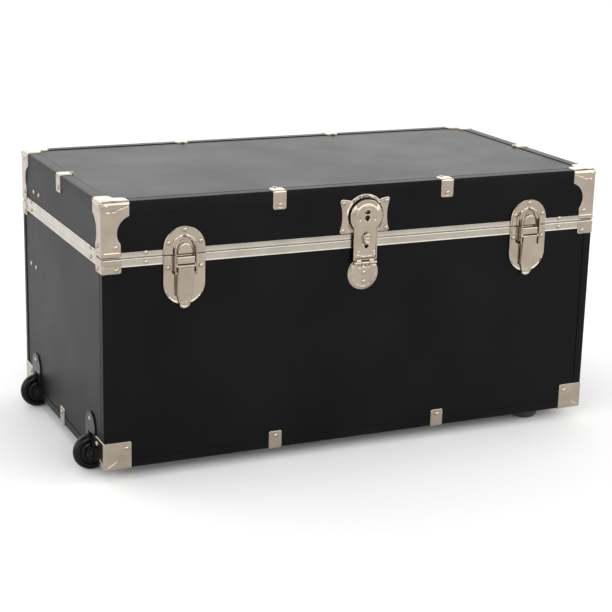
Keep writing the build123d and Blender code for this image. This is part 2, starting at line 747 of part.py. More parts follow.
with BuildPart() as lock_strike_plate:
    with BuildSketch(LOCK):
        with BuildLine():
            Polyline((-EAR_X, EAR_HIGH - 8), (-EAR_X, EAR_HIGH), (EAR_X, EAR_HIGH),
                     (EAR_X, EAR_HIGH - 8))
            ThreePointArc((EAR_X, EAR_HIGH - 8), (EAR_X - 3.5, BOSS_UP), (EAR_X, EAR_LOW + 8))
            Polyline((EAR_X, EAR_LOW + 8), (EAR_X, EAR_LOW), (-EAR_X, EAR_LOW),
                     (-EAR_X, EAR_LOW + 8))
            ThreePointArc((-EAR_X, EAR_LOW + 8), (3.5 - EAR_X, BOSS_UP),
                          (-EAR_X, EAR_HIGH - 8))
        make_face()
        with Locations((0, BOSS_UP)):
            Circle(STRIKE_ARCH)
        Rectangle(4 * EAR_X, 2 * EAR_LOW, mode=Mode.SUBTRACT)
    extrude(amount=STRIKE_SHEET)
    disc(LOCK, 29, STRIKE_SHEET, STRIKE_SHEET + 1.8, (0, BOSS_UP))
    disc(LOCK, 25.8, STRIKE_SHEET, STRIKE_SHEET + 2, (0, BOSS_UP), Mode.SUBTRACT)
    block(LOCK, 60, 20, STRIKE_SHEET, STRIKE_SHEET + 2, (0, EAR_LOW - 10 + 0.01),
          Mode.SUBTRACT)
    disc(LOCK, 8, STRIKE_SHEET, HASP_BACK - 0.6, (0, BOSS_UP))
    add(lid_edge_bindings.part, mode=Mode.SUBTRACT)
    punch(STRIKE_RIVETS)
save(lock_strike_plate.part, "lock_strike_plate")

with BuildPart() as lock_base_disc:
    disc(LOCK, DISC, 0, 2.2, (0, DISC_UP))
    disc(LOCK, DISC_FACE, 2.2, 3.2, (0, DISC_UP))
    with BuildSketch(LOCK_ACROSS) as hinge_block:
        with Locations((HASP_PIVOT_OUT, HASP_PIVOT_UP)):
            Circle(HASP_KNUCKLE)
        Polygon((2.2, HASP_PIVOT_UP - HASP_KNUCKLE), (HASP_PIVOT_OUT, HASP_PIVOT_UP - HASP_KNUCKLE),
                (HASP_PIVOT_OUT, HASP_PIVOT_UP + HASP_KNUCKLE),
                (2.2, HASP_PIVOT_UP + HASP_KNUCKLE), align=None)
    extrude(hinge_block.sketch, amount=6, both=True)
    disc(LOCK_ACROSS, HASP_PIN, -10, 10, (HASP_PIVOT_OUT, HASP_PIVOT_UP), Mode.SUBTRACT)
    punch(DISC_RIVETS)
save(lock_base_disc.part, "lock_base_disc")

with BuildPart() as lock_hinge_pin:
    disc(LOCK_ACROSS, HASP_PIN, -14, 14, (HASP_PIVOT_OUT, HASP_PIVOT_UP))
save(lock_hinge_pin.part, "lock_hinge_pin")

with BuildPart() as lock_hasp:
    disc(LOCK, HEAD, HASP_BACK, HASP_PLATE, (0, BOSS_UP))
    with Locations(on_wall("front", 0, SEAM + BOSS_UP, HASP_PLATE)):
        Cone(HEAD, HEAD_FACE, HEAD_PROUD - HASP_PLATE, align=ON_TOP)
    shank_low = HASP_PIVOT_UP + HASP_KNUCKLE + 0.6
    block(LOCK, 2 * SHANK_HALF, BOSS_UP - shank_low, HASP_BACK, HASP_PLATE,
          (0, (BOSS_UP + shank_low) / 2))
    block(LOCK, 2 * SHANK_FACE_HALF, BOSS_UP - shank_low - 4, HASP_PLATE, HASP_FACE,
          (0, (BOSS_UP + shank_low + 4) / 2))
    for side in (-1, 1):
        middle = side * 10.0
        with BuildSketch(LOCK_ACROSS.offset(middle)) as knuckle:
            with Locations((HASP_PIVOT_OUT, HASP_PIVOT_UP)):
                Circle(HASP_KNUCKLE)
            Polygon((HASP_BACK, HASP_PIVOT_UP), (HASP_PIVOT_OUT + 2, HASP_PIVOT_UP),
                    (HASP_PLATE, shank_low), (HASP_BACK, shank_low), align=None)
        extrude(knuckle.sketch, amount=3.5, both=True)
    disc(LOCK_ACROSS, HASP_PIN + RUNNING, -15, 15, (HASP_PIVOT_OUT, HASP_PIVOT_UP),
         Mode.SUBTRACT)
    disc(LOCK, PLUG + RUNNING, HASP_BACK - 1, HEAD_PROUD + 1, (0, PLUG_UP), Mode.SUBTRACT)
    block(LOCK, 4.6, 18, HASP_BACK - 1, HASP_FACE + 1, (0, -3), Mode.SUBTRACT)
    disc(LOCK, 2.6, HEAD_PROUD - 1.5, HEAD_PROUD + 1, (0, PLUG_UP + 8.5), Mode.SUBTRACT)
save(lock_hasp.part, "lock_hasp")

with BuildPart() as lock_plug:
    disc(LOCK, PLUG, HASP_BACK + 0.5, HEAD_PROUD + 0.4, (0, PLUG_UP))
    block(LOCK, 1.4, 6, HEAD_PROUD - 3, HEAD_PROUD + 1, (0, PLUG_UP), Mode.SUBTRACT)
save(lock_plug.part, "lock_plug")

with BuildPart() as lock_slide:
    with BuildSketch(LOCK.offset(HASP_FACE + 0.3)):
        with Locations((0, KNOB_UP)):
            Ellipse(6, 8.5)
    extrude(amount=FRONT_REACH - HASP_FACE - 0.3)
    fillet(faces().sort_by(Axis.Y)[0].edges(), 1.6)
    block(LOCK, 4.0, 7.0, HASP_BACK + 0.4, HASP_FACE + 0.3, (0, KNOB_UP))
save(lock_slide.part, "lock_slide")


# ---------------------------------------------------------------------------------------
# Wheels in housings let into the left end's bottom edge, and glide feet under the right end
# ---------------------------------------------------------------------------------------
def wheel_section(side):
    """A plane square to a wheel's axle, through the wheel's middle."""
    return Plane((AXLE_X, CENTRE_Y + side * WHEEL_Y, WHEEL), x_dir=(1, 0, 0), z_dir=(0, -1, 0))


HOUSING_FACE = 2.0
HOUSING_EAR = 9.5
HOUSING_TAIL = 44.0
HOUSING_RIVETS = [
    on_wall("left", side * WHEEL_Y, BASE + 55.0, HOUSING_FACE) for side in (-1, 1)
]


def wheel_housing(side):
    """A moulded pocket with a round-topped face plate, a foot plate and ears for the axle."""
    section = wheel_section(side)
    half = POCKET_HALF + POCKET_WALL
    middle_y = CENTRE_Y + side * WHEEL_Y
    disc(section, POCKET + POCKET_WALL, -half, half)
    with Locations((LEFT - 50, middle_y, WHEEL)):
        Box(100, 100, 200, mode=Mode.SUBTRACT)
    with Locations((LEFT, middle_y, BASE - 50)):
        Box(200, 100, 100, mode=Mode.SUBTRACT)
    with BuildSketch(section) as ear:
        Circle(HOUSING_EAR)
        with Locations((WHEEL_OUT / 2, 0)):
            Rectangle(WHEEL_OUT, 2 * HOUSING_EAR)
    extrude(ear.sketch, amount=half, both=True)
    face = on_wall("left", -side * WHEEL_Y, BASE)
    round_up = HOUSING_TOP - HOUSING_HALF
    block(face, 2 * HOUSING_HALF, round_up, 0, HOUSING_FACE, (0, round_up / 2))
    disc(face, HOUSING_HALF, 0, HOUSING_FACE, (0, round_up))
    foot_plate = HOUSING_FACE + HOUSING_TAIL
    with Locations((LEFT - HOUSING_FACE + foot_plate / 2, middle_y, BASE)):
        Box(foot_plate, 2 * HOUSING_HALF, HOUSING_FACE, align=BELOW)
    disc(section, POCKET, -POCKET_HALF, POCKET_HALF, (0, 0), Mode.SUBTRACT)
    disc(section, AXLE, -half - 1, half + 1, (0, 0), Mode.SUBTRACT)
    for low in (-half - 1.6, half):
        disc(section, AXLE_HEAD + 0.4, low, low + 1.6, (0, 0), Mode.SUBTRACT)


def wheel(side):
    """A hard tyre with a round tread and a stepped hub, on a plain bore."""
    section = wheel_section(side)
    half = WHEEL_WIDTH / 2
    with Locations(section):
        Cylinder(WHEEL, WHEEL_WIDTH)
    fillet(edges().filter_by(GeomType.CIRCLE), 4.5)
    for face in (-1, 1):
        low, high = sorted((face * (half - 1.6), face * (half + 1)))
        disc(section, 17, low, high, (0, 0), Mode.SUBTRACT)
        disc(section, 8, *sorted((face * (half - 1.7), face * (half - 0.2))))
    disc(section, AXLE + RUNNING, -half - 1, half + 1, (0, 0), Mode.SUBTRACT)


with BuildPart() as wheel_housing_front:
    wheel_housing(-1)
    punch(HOUSING_RIVETS)
save(wheel_housing_front.part, "wheel_housing_front")

with BuildPart() as wheel_housing_back:
    wheel_housing(1)
    punch(HOUSING_RIVETS)
save(wheel_housing_back.part, "wheel_housing_back")

with BuildPart() as wheel_axles:
    for side in (-1, 1):
        section = wheel_section(side)
        half = POCKET_HALF + POCKET_WALL
        disc(section, AXLE, -half, half)
        disc(section, AXLE_HEAD, half, half + 1.2)
        disc(section, AXLE_HEAD, -half - 1.2, -half)
save(wheel_axles.part, "wheel_axles")

with BuildPart() as wheel_front:
    wheel(-1)
save(wheel_front.part, "wheel_front")

with BuildPart() as wheel_back:
    wheel(1)
save(wheel_back.part, "wheel_back")

with BuildPart() as glide_feet:
    with Locations((FOOT_X, CENTRE_Y - FOOT_Y, 0), (FOOT_X, CENTRE_Y + FOOT_Y, 0)):
        Cylinder(FOOT, BASE, align=ON_TOP)
    fillet(edges().filter_by(GeomType.CIRCLE).group_by(Axis.Z)[0], 9)
save(glide_feet.part, "glide_feet")

# ---------------------------------------------------------------------------------------
# Carrying handle on the right end
# ---------------------------------------------------------------------------------------
BRACKET_WIDTH = 30.0
BRACKET_TALL = 44.0
LUG = 3.0
LUG_HALF = 6.0
HANDLE_RIVETS = [
    on_wall("right", side * HANDLE_Y, HANDLE_UP + up, 2.0)
    for side in (-1, 1) for up in (-17.0, 17.0)
]

with BuildPart() as handle_brackets:
    for side in (-1, 1):
        wall_plane = on_wall("right", side * HANDLE_Y, HANDLE_UP)
        across = across_wall("right", side * HANDLE_Y, HANDLE_UP)
        block(wall_plane, BRACKET_WIDTH, BRACKET_TALL, 0, 2)
        for end in (-1, 1):
            with BuildSketch(across.offset(end * (ARM_HALF + 0.3 + LUG / 2))) as lug:
                with Locations((HANDLE_OUT, 0)):
                    Circle(LUG_HALF)
                Polygon((2, -LUG_HALF), (HANDLE_OUT, -LUG_HALF), (HANDLE_OUT, LUG_HALF),
                        (2, LUG_HALF), align=None)
            extrude(lug.sketch, amount=LUG / 2, both=True)
        reach = ARM_HALF + 0.3 + LUG
        disc(across, HANDLE_PIN, -reach - 1, reach + 1, (HANDLE_OUT, 0))
    punch(HANDLE_RIVETS)
save(handle_brackets.part, "handle_brackets")

with BuildPart() as handle_arms:
    for side in (-1, 1):
        across = across_wall("right", side * HANDLE_Y, HANDLE_UP)
        with BuildSketch(across) as arm:
            with Locations((HANDLE_OUT, 0)):
                Circle(5.2)
            with Locations((GRIP_OUT, -HANDLE_DROP)):
                Circle(7)
            Polygon((HANDLE_OUT - 4, -1), (HANDLE_OUT + 4.5, 1), (GRIP_OUT + 4, -HANDLE_DROP + 4),
                    (GRIP_OUT - 6, -HANDLE_DROP - 1), align=None)
        extrude(arm.sketch, amount=ARM_HALF, both=True)
        disc(across, HANDLE_PIN + RUNNING, -ARM_HALF - 1, ARM_HALF + 1, (HANDLE_OUT, 0),
             Mode.SUBTRACT)
save(handle_arms.part, "handle_arms")

with BuildPart() as handle_grip:
    with Locations(Plane((RIGHT + GRIP_OUT, CENTRE_Y, HANDLE_UP - HANDLE_DROP),
                         x_dir=(1, 0, 0), z_dir=(0, 1, 0))):
        Cylinder(GRIP, 2 * (HANDLE_Y - ARM_HALF))
    fillet(edges().filter_by(GeomType.CIRCLE), 3)
save(handle_grip.part, "handle_grip")

# ---------------------------------------------------------------------------------------
# Hinges on the back: leaves over the rails, with interleaved knuckles on one pin
# ---------------------------------------------------------------------------------------
KNUCKLE_PITCH = 2 * HINGE_HALF / HINGE_KNUCKLES
KNUCKLE_GAP = 0.4


def hinge_leaf(x, direction, knuckles):
    """One leaf above or below the pin, with the knuckles that belong to it."""
    wall_plane = on_wall("back", -x, SEAM)
    across = across_wall("back", -x, SEAM)
    start = HINGE_KNUCKLE + 0.5
    middle = direction * (start + HINGE_LEAF) / 2
    block(wall_plane, 2 * HINGE_HALF, HINGE_LEAF - start, 0, HINGE_SHEET, (0, middle))
    for index in knuckles:
        centre = -HINGE_HALF + KNUCKLE_PITCH * (index + 0.5)
        with BuildSketch(across.offset(centre)) as knuckle:
            with Locations((HINGE_OUT, 0)):
                Circle(HINGE_KNUCKLE)
            points = ((HINGE_SHEET - 1.2, start + 1), (HINGE_SHEET - 1.2, 0),
                      (HINGE_OUT + 2.4, 0), (HINGE_SHEET, start + 1))
            Polygon(*[(out, up * direction) for out, up in points], align=None)
        extrude(knuckle.sketch, amount=(KNUCKLE_PITCH - KNUCKLE_GAP) / 2, both=True)


def hinge_rivets(direction):
    planes = []
    for x in HINGE_X:
        for offset in (-17.0, 0.0, 17.0):
            planes.append(on_wall("back", -x + offset, SEAM + direction * 20.0, HINGE_SHEET))
    return planes


HINGE_BODY_RIVETS = hinge_rivets(-1)
HINGE_LID_RIVETS = hinge_rivets(1)


def hinge_bores(clearance):
    for x in HINGE_X:
        disc(across_wall("back", -x, SEAM), HINGE_PIN + clearance, -HINGE_HALF - 1,
             HINGE_HALF + 1, (HINGE_OUT, 0), Mode.SUBTRACT)


with BuildPart() as hinge_body_leaves:
    for x in HINGE_X:
        hinge_leaf(x, -1, (0, 2, 4))
    add(body_rail.part, mode=Mode.SUBTRACT)
    hinge_bores(0)
    punch(HINGE_BODY_RIVETS)
save(hinge_body_leaves.part, "hinge_body_leaves")

with BuildPart() as hinge_lid_leaves:
    for x in HINGE_X:
        hinge_leaf(x, 1, (1, 3))
    add(lid_rail.part, mode=Mode.SUBTRACT)
    hinge_bores(RUNNING)
    punch(HINGE_LID_RIVETS)
save(hinge_lid_leaves.part, "hinge_lid_leaves")

with BuildPart() as hinge_pins:
    for x in HINGE_X:
        disc(across_wall("back", -x, SEAM), HINGE_PIN, -HINGE_HALF, HINGE_HALF,
             (HINGE_OUT, 0))
save(hinge_pins.part, "hinge_pins")


# ---------------------------------------------------------------------------------------
# Lid stay inside the left end: two bars that lie folded when the lid is shut
# ---------------------------------------------------------------------------------------
def stay_plane(inset):
    """A plane parallel to the left end, inside the case: x to the back, y up from the base."""
    return Plane((LEFT + PANEL + inset, CENTRE_Y, BASE), x_dir=(0, 1, 0), z_dir=(1, 0, 0))


def stay_bar(inset, start, end, end_hole):
    """A flat bar with round ends, bored at its start and, if wanted, at its end."""
    plane = stay_plane(inset)
    length = math.dist(start, end)
    turn = math.degrees(math.atan2(end[1] - start[1], end[0] - start[0]))
    middle = ((start[0] + end[0]) / 2, (start[1] + end[1]) / 2)
    with BuildSketch(plane) as bar:
        with Locations(Location((middle[0], middle[1], 0), (0, 0, turn))):
            SlotCenterToCenter(length, 2 * STAY_BAR)
        with Locations(start):
            Circle(STAY_PIN + RUNNING, mode=Mode.SUBTRACT)
        if end_hole:
            with Locations(end):
                Circle(STAY_PIN, mode=Mode.SUBTRACT)
    extrude(bar.sketch, amount=STAY_SHEET)


STAY_GAP = 0.5
LOWER_INSET = STAY_INSET
UPPER_INSET = STAY_INSET + STAY_SHEET + STAY_GAP
STAY_RIVET_PITCH = 13.5


def stay_plate(pivot, bar_inset):
    """A small plate on the end panel with a headed stud that carries one bar."""
    plane = stay_plane(0)
    sheet = 1.2
    with BuildSketch(plane) as outline:
        with Locations(pivot):
            RectangleRounded(2 * STAY_PLATE_HALF, 15, 5)
    extrude(outline.sketch, amount=sheet)
    disc(plane, STAY_PIN + 1.5, sheet, bar_inset - 0.3, pivot)
    disc(plane, STAY_PIN, bar_inset - 0.3, bar_inset + STAY_SHEET + 0.3, pivot)
    disc(plane, STAY_PIN + 1.5, bar_inset + STAY_SHEET + 0.3, bar_inset + STAY_SHEET + 1.3,
         pivot)


def stay_rivets(pivot):
    """Fixings through the left end, with their heads on the outside of the case."""
    return [on_wall("left", -(pivot[0] + offset), BASE + pivot[1], 0)
            for offset in (-STAY_RIVET_PITCH, STAY_RIVET_PITCH)]


with BuildPart() as stay_body_plate:
    stay_plate(STAY_BODY, LOWER_INSET)
save(stay_body_plate.part, "stay_body_plate")

with BuildPart() as stay_lid_plate:
    stay_plate(STAY_LID, UPPER_INSET)
save(stay_lid_plate.part, "stay_lid_plate")

with BuildPart() as stay_lower_bar:
    stay_bar(LOWER_INSET, STAY_BODY, STAY_ELBOW, False)
save(stay_lower_bar.part, "stay_lower_bar")

with BuildPart() as stay_upper_bar:
    stay_bar(UPPER_INSET, STAY_LID, STAY_ELBOW, True)
save(stay_upper_bar.part, "stay_upper_bar")

with BuildPart() as stay_elbow_rivet:
    elbow_plane = stay_plane(UPPER_INSET)
    disc(elbow_plane, STAY_PIN, 0, STAY_SHEET, STAY_ELBOW)
    disc(elbow_plane, STAY_PIN + 2, STAY_SHEET, STAY_SHEET + 1.2, STAY_ELBOW)
save(stay_elbow_rivet.part, "stay_elbow_rivet")


# ---------------------------------------------------------------------------------------
# Rivets, in groups of identical fasteners
# ---------------------------------------------------------------------------------------
RAIL_RIVET_INSET = {"front": 59.0, "back": 59.0, "left": 50.0, "right": 50.0}


def rail_rivets(height):
    """Rivets in a rail, one near each end of each wall's strip."""
    planes = []
    for wall, inset in RAIL_RIVET_INSET.items():
        half = WALL_LENGTH[wall] / 2 - inset
        planes += [on_wall(wall, spot, height, RAIL_SHEET) for spot in (-half, half)]
    return planes


with BuildPart() as lid_trim_rivets:
    rivets(LID_CAP_RIVETS + LID_CLAMP_RIVETS + rail_rivets(SEAM + 6.4))
save(lid_trim_rivets.part, "lid_trim_rivets")

with BuildPart() as lid_hardware_rivets:
    rivets(CATCH_RIVETS + STRIKE_RIVETS + HINGE_LID_RIVETS + stay_rivets(STAY_LID))
save(lid_hardware_rivets.part, "lid_hardware_rivets")

with BuildPart() as body_trim_rivets:
    rivets(BASE_CAP_RIVETS + SEAM_CORNER_RIVETS + BASE_CLAMP_RIVETS + HOUSING_RIVETS)
    rivets(rail_rivets(SEAM - 6.4))
save(body_trim_rivets.part, "body_trim_rivets")

with BuildPart() as body_hardware_rivets:
    rivets(LATCH_BASE_RIVETS + DISC_RIVETS + HINGE_BODY_RIVETS + HANDLE_RIVETS)
    rivets(stay_rivets(STAY_BODY))
save(body_hardware_rivets.part, "body_hardware_rivets")
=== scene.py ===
import json
import math

import bmesh
import bpy
import numpy as np
from mathutils import Matrix, Vector, geometry


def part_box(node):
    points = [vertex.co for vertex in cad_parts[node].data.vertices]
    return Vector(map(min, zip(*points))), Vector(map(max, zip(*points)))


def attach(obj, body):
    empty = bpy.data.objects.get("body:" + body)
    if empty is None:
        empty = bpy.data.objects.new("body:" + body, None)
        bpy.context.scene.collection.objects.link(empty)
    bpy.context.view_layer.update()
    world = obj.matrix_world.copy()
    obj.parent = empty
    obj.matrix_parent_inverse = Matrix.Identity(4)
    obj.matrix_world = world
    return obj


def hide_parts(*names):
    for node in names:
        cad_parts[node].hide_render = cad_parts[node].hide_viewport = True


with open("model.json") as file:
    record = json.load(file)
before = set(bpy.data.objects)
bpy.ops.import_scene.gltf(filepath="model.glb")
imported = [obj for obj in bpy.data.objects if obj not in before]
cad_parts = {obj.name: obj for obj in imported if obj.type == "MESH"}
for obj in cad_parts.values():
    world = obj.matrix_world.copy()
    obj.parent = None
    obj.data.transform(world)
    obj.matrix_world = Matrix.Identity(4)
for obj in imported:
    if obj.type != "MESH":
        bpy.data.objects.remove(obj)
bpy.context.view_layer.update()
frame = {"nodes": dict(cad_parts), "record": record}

# Sizes. Lengths are in millimetres in the row frame; a mesh is scaled to metres when made.
MM = 0.001
UP = Vector((0, 0, 1))


def box_mm(node):
    """The lowest and highest corner of a CAD node, in millimetres."""
    low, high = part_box(node)
    return low / MM, high / MM


LID_LOW, LID_HIGH = box_mm("lid_top_panel")
LEFT, FRONT = LID_LOW.x, LID_LOW.y
RIGHT, BACK, TOP = LID_HIGH
CENTRE_Y = (FRONT + BACK) / 2
BASE = box_mm("front_panel")[0].z
SEAM = (box_mm("front_panel")[1].z + box_mm("lid_front_panel")[0].z) / 2
LENGTH, DEPTH = RIGHT - LEFT, BACK - FRONT
PANEL = box_mm("front_panel")[1].y - FRONT

BINDING = 0.8
CAP = 1.8
SHEET = 1.2
LID_CAP_REACH = 37.0
LID_CAP_DROP = 73.8
BASE_CAP_REACH = 38.0
SEAM_CORNER_REACH = 25.5
SEAM_CORNER_DROP = 19.8
CLAMP_LEG = 25.0
CLAMP_TOP_LEG = 17.0
CLAMP_HALF = 10.0
CLAMP_X = 130.0
HINGE_X = 240.0
HINGE_HALF = 25.5
LATCH_X = 268.0
WHEEL_Y = 140.0
HOUSING_HALF = 21.5
LID_CAP_FOLD = 4.2
BASE_CAP_FOLD = 3.4

WALLS = {
    "front": (Vector((0, -1, 0)), Vector((0, FRONT, 0)), LENGTH),
    "back": (Vector((0, 1, 0)), Vector((0, BACK, 0)), LENGTH),
    "left": (Vector((-1, 0, 0)), Vector((LEFT, CENTRE_Y, 0)), DEPTH),
    "right": (Vector((1, 0, 0)), Vector((RIGHT, CENTRE_Y, 0)), DEPTH),
}


def frame_of(x_axis, y_axis, z_axis, origin):
    """A matrix with the given axes and origin."""
    matrix = Matrix((x_axis, y_axis, z_axis)).transposed().to_4x4()
    matrix.translation = origin
    return matrix


def on_wall(wall, along, height):
    """On a wall: x to the right seen from outside, y up, z outwards."""
    out, middle, _ = WALLS[wall]
    right = UP.cross(out)
    return frame_of(right, UP, out, middle + right * along + UP * height)


def across_wall(wall, along, height):
    """Square to a wall: x outwards, y up, z along the wall."""
    out, middle, _ = WALLS[wall]
    side = out.cross(UP)
    return frame_of(out, UP, side, middle - side * along + UP * height)


# Materials
def ranged(tree, value, numbers):
    """Maps a value's range, the first two numbers, to the last two."""
    node = tree.nodes.new("ShaderNodeMapRange")
    tree.links.new(value, node.inputs["Value"])
    for name, number in zip(("From Min", "From Max", "To Min", "To Max"), numbers):
        node.inputs[name].default_value = number
    return node


class Nodes:
    """A small wrapper that adds nodes to a material and links them."""

    def __init__(self, name):
        self.material = bpy.data.materials.new(name)
        self.material.use_nodes = True
        self.tree = self.material.node_tree
        self.shader = self.tree.nodes["Principled BSDF"]
        self.place = self.add("ShaderNodeTexCoord").outputs["Object"]

    def add(self, kind, **values):
        node = self.tree.nodes.new(kind)
        for key, value in values.items():
            if hasattr(node, key):
                setattr(node, key, value)
            else:
                node.inputs[key.replace("_", " ")].default_value = value
        return node

    def link(self, source, target):
        self.tree.links.new(source, target)

    def noise(self, scale, detail=3.0, stretch=(1, 1, 1)):
        """Noise in object space; scale is in features per metre."""
        mapping = self.add("ShaderNodeMapping")
        mapping.inputs["Scale"].default_value = stretch
        self.link(self.place, mapping.inputs["Vector"])
        node = self.add("ShaderNodeTexNoise", Scale=scale, Detail=detail)
        self.link(mapping.outputs["Vector"], node.inputs["Vector"])
        return node.outputs["Fac"]

    def cells(self, scale):
        node = self.add("ShaderNodeTexVoronoi", Scale=scale)
        self.link(self.place, node.inputs["Vector"])
        return node.outputs["Distance"]

    def between(self, value, low, high, start=0.0, end=1.0):
        return ranged(self.tree, value, (low, high, start, end)).outputs["Result"]

    def mix(self, factor, first, second):
        """Mixes two colours by a factor."""
        node = self.add("ShaderNodeMix", data_type="RGBA")
        self.link(factor, node.inputs["Factor"])
        node.inputs["A"].default_value = (*first, 1)
        node.inputs["B"].default_value = (*second, 1)
        return node.outputs["Result"]

    def bump(self, height, distance, strength=1.0, below=None):
        node = self.add("ShaderNodeBump")
        node.inputs["Distance"].default_value = distance
        node.inputs["Strength"].default_value = strength
        self.link(height, node.inputs["Height"])
        if below is not None:
            self.link(below, node.inputs["Normal"])
        return node.outputs["Normal"]

    def set(self, **values):
        """Sets shader sockets: numbers directly, sockets by a link."""
        for key, value in values.items():
            socket = self.shader.inputs[key.replace("_", " ")]
            if isinstance(value, bpy.types.NodeSocket):
                self.link(value, socket)
            else:
                socket.default_value = value
        return self.material


def grey(value):
    """A neutral colour."""
    return value, value, value


def board_material(name, dark, light, grain, rough):
    """Black vinyl-covered fibreboard: fine grain, faint scuffs and slight sheen changes."""
    nodes = Nodes(name)
    blotch = nodes.noise(9.0, 4.0)
    scuff = nodes.between(nodes.noise(420.0, 2.0, (0.05, 1.0, 1.0)), 0.62, 0.75)
    colour = nodes.mix(nodes.between(blotch, 0.3, 0.7), dark, light)
    fine = nodes.bump(nodes.cells(1600.0), 0.00003, grain)
    wavy = nodes.bump(nodes.noise(22.0, 2.0), 0.0006, 0.10, fine)
    worn = nodes.bump(scuff, 0.00002, 0.5, wavy)
    roughness = nodes.between(blotch, 0.3, 0.7, rough - 0.03, rough + 0.04)
    return nodes.set(Base_Color=colour, Roughness=roughness, Normal=worn, IOR=1.17)


def metal_material(name, dark, light, low, high, stretch, peel):
    """Nickel plate: a warm metal with faint polish lines, haze and stamping marks."""
    nodes = Nodes(name)
    haze = nodes.noise(35.0, 4.0)
    lines = nodes.noise(900.0, 2.0, stretch)
    colour = nodes.mix(nodes.between(haze, 0.3, 0.7), dark, light)
    roughness = nodes.between(nodes.noise(120.0, 3.0), 0.3, 0.7, low, high)
    peeled = nodes.bump(nodes.noise(160.0, 2.0), 0.0002, peel)
    polished = nodes.bump(lines, 0.00001, 0.4, peeled)
    return nodes.set(Base_Color=colour, Metallic=1.0, Roughness=roughness, Normal=polished)


def moulded_material(name, dark, light, low, high, ior):
    """Moulded plastic or rubber: fine stipple and flow haze."""
    nodes = Nodes(name)
    haze = nodes.noise(60.0, 3.0)
    colour = nodes.mix(nodes.between(haze, 0.35, 0.65), dark, light)
    stipple = nodes.bump(nodes.noise(2200.0, 2.0), 0.00004, 0.35)
    soft = nodes.bump(nodes.noise(90.0, 2.0), 0.0003, 0.12, stipple)
    roughness = nodes.between(haze, 0.3, 0.7, low, high)
    return nodes.set(Base_Color=colour, Roughness=roughness, Normal=soft, IOR=ior)


BOARD = board_material("black_board", grey(0.002), grey(0.0035), 0.20, 0.36)
BINDING_BLACK = board_material("black_binding", grey(0.002), grey(0.004), 0.14, 0.37)
NICKEL = metal_material("nickel_plate", (0.33, 0.28, 0.225), (0.41, 0.355, 0.29), 0.12, 0.20,
                        (1.0, 1.0, 0.06), 0.06)
RAIL_NICKEL = metal_material("nickel_rail", (0.36, 0.33, 0.285), (0.43, 0.395, 0.345), 0.18, 0.26,
                             (0.04, 0.04, 1.0), 0.01)
STEEL = metal_material("steel_pins", (0.50, 0.49, 0.47), (0.62, 0.61, 0.59), 0.18, 0.30,
                       (1.0, 1.0, 1.0), 0.05)
MOULDING = moulded_material("black_moulding", grey(0.004), grey(0.008), 0.22, 0.32, 1.30)
TYRE = moulded_material("black_tyre", grey(0.002), grey(0.004), 0.10, 0.16, 1.25)
FOOT = moulded_material("dark_foot", (0.020, 0.021, 0.012), (0.034, 0.034, 0.020),
                        0.38, 0.52, 1.40)
GRIP = moulded_material("grip_black", (0.012, 0.012, 0.013), (0.022, 0.022, 0.023),
                        0.42, 0.55, 1.45)
SLOTS = {
    "black_board": BOARD, "black_binding": BINDING_BLACK, "nickel": NICKEL,
    "black_moulding": MOULDING, "black_tyre": TYRE, "dark_foot": FOOT, "grip_black": GRIP,
    "steel_pin": STEEL,
}


# Making pieces
def finish_piece(name, mesh, body, stands_for=(), slot="nickel", material=None, sharp=32.0):
    """Turns a bmesh in millimetres into a piece in metres, on its body, with its finish."""
    bmesh.ops.remove_doubles(mesh, verts=mesh.verts, dist=0.004)
    bmesh.ops.dissolve_degenerate(mesh, dist=0.0005, edges=mesh.edges)
    bmesh.ops.recalc_face_normals(mesh, faces=mesh.faces)
    bmesh.ops.scale(mesh, vec=(MM, MM, MM), verts=mesh.verts)
    data = bpy.data.meshes.new(name)
    mesh.to_mesh(data)
    mesh.free()
    data.polygons.foreach_set("use_smooth", [True] * len(data.polygons))
    data.set_sharp_from_angle(angle=math.radians(sharp))
    data.materials.append(material or SLOTS[slot])
    piece = bpy.data.objects.new(name, data)
    bpy.context.scene.collection.objects.link(piece)
    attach(piece, body)
    if stands_for:
        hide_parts(*stands_for)


def arc(centre, radius, start, end, step=1.0):
    """Points along an arc from one angle to another, in degrees."""
    sweep = math.radians(end - start)
    count = max(3, math.ceil(abs(sweep) * radius / step))
    angles = [math.radians(start) + sweep * i / count for i in range(count + 1)]
    return [(centre[0] + radius * math.cos(a), centre[1] + radius * math.sin(a)) for a in angles]


def rounded(points, radii):
    """Replaces each corner of a closed polygon by an arc of the radius given for it."""
    made = []
    for i, corner in enumerate(points):
        here, before, after = (Vector(corner), Vector(points[i - 1]),
                               Vector(points[(i + 1) % len(points)]))
        into, out = (before - here).normalized(), (after - here).normalized()
        half = into.angle(out) / 2
        if radii[i] <= 0 or abs(half - math.pi / 2) < 1e-3:
            made.append(tuple(here))
            continue
        centre = here + (into + out).normalized() * (radii[i] / math.sin(half))
        first = here + into * (radii[i] / math.tan(half)) - centre
        last = here + out * (radii[i] / math.tan(half)) - centre
        turn = first.angle_signed(last)
        steps = max(3, math.ceil(radii[i] * abs(turn) / 0.6))
        for k in range(steps + 1):
            angle = -turn * k / steps
            made.append(tuple(centre + Matrix.Rotation(angle, 2) @ first))
    return made


def spaced(points, step):
    """A closed outline with no gap longer than step."""
    made = []
    for i, start in enumerate(points):
        end = points[(i + 1) % len(points)]
        length = math.dist(start, end)
        if length < 1e-6:
            continue
        parts = max(1, math.ceil(length / step))
        made += [(start[0] + (end[0] - start[0]) * k / parts,
                  start[1] + (end[1] - start[1]) * k / parts) for k in range(parts)]
    return np.array(made)


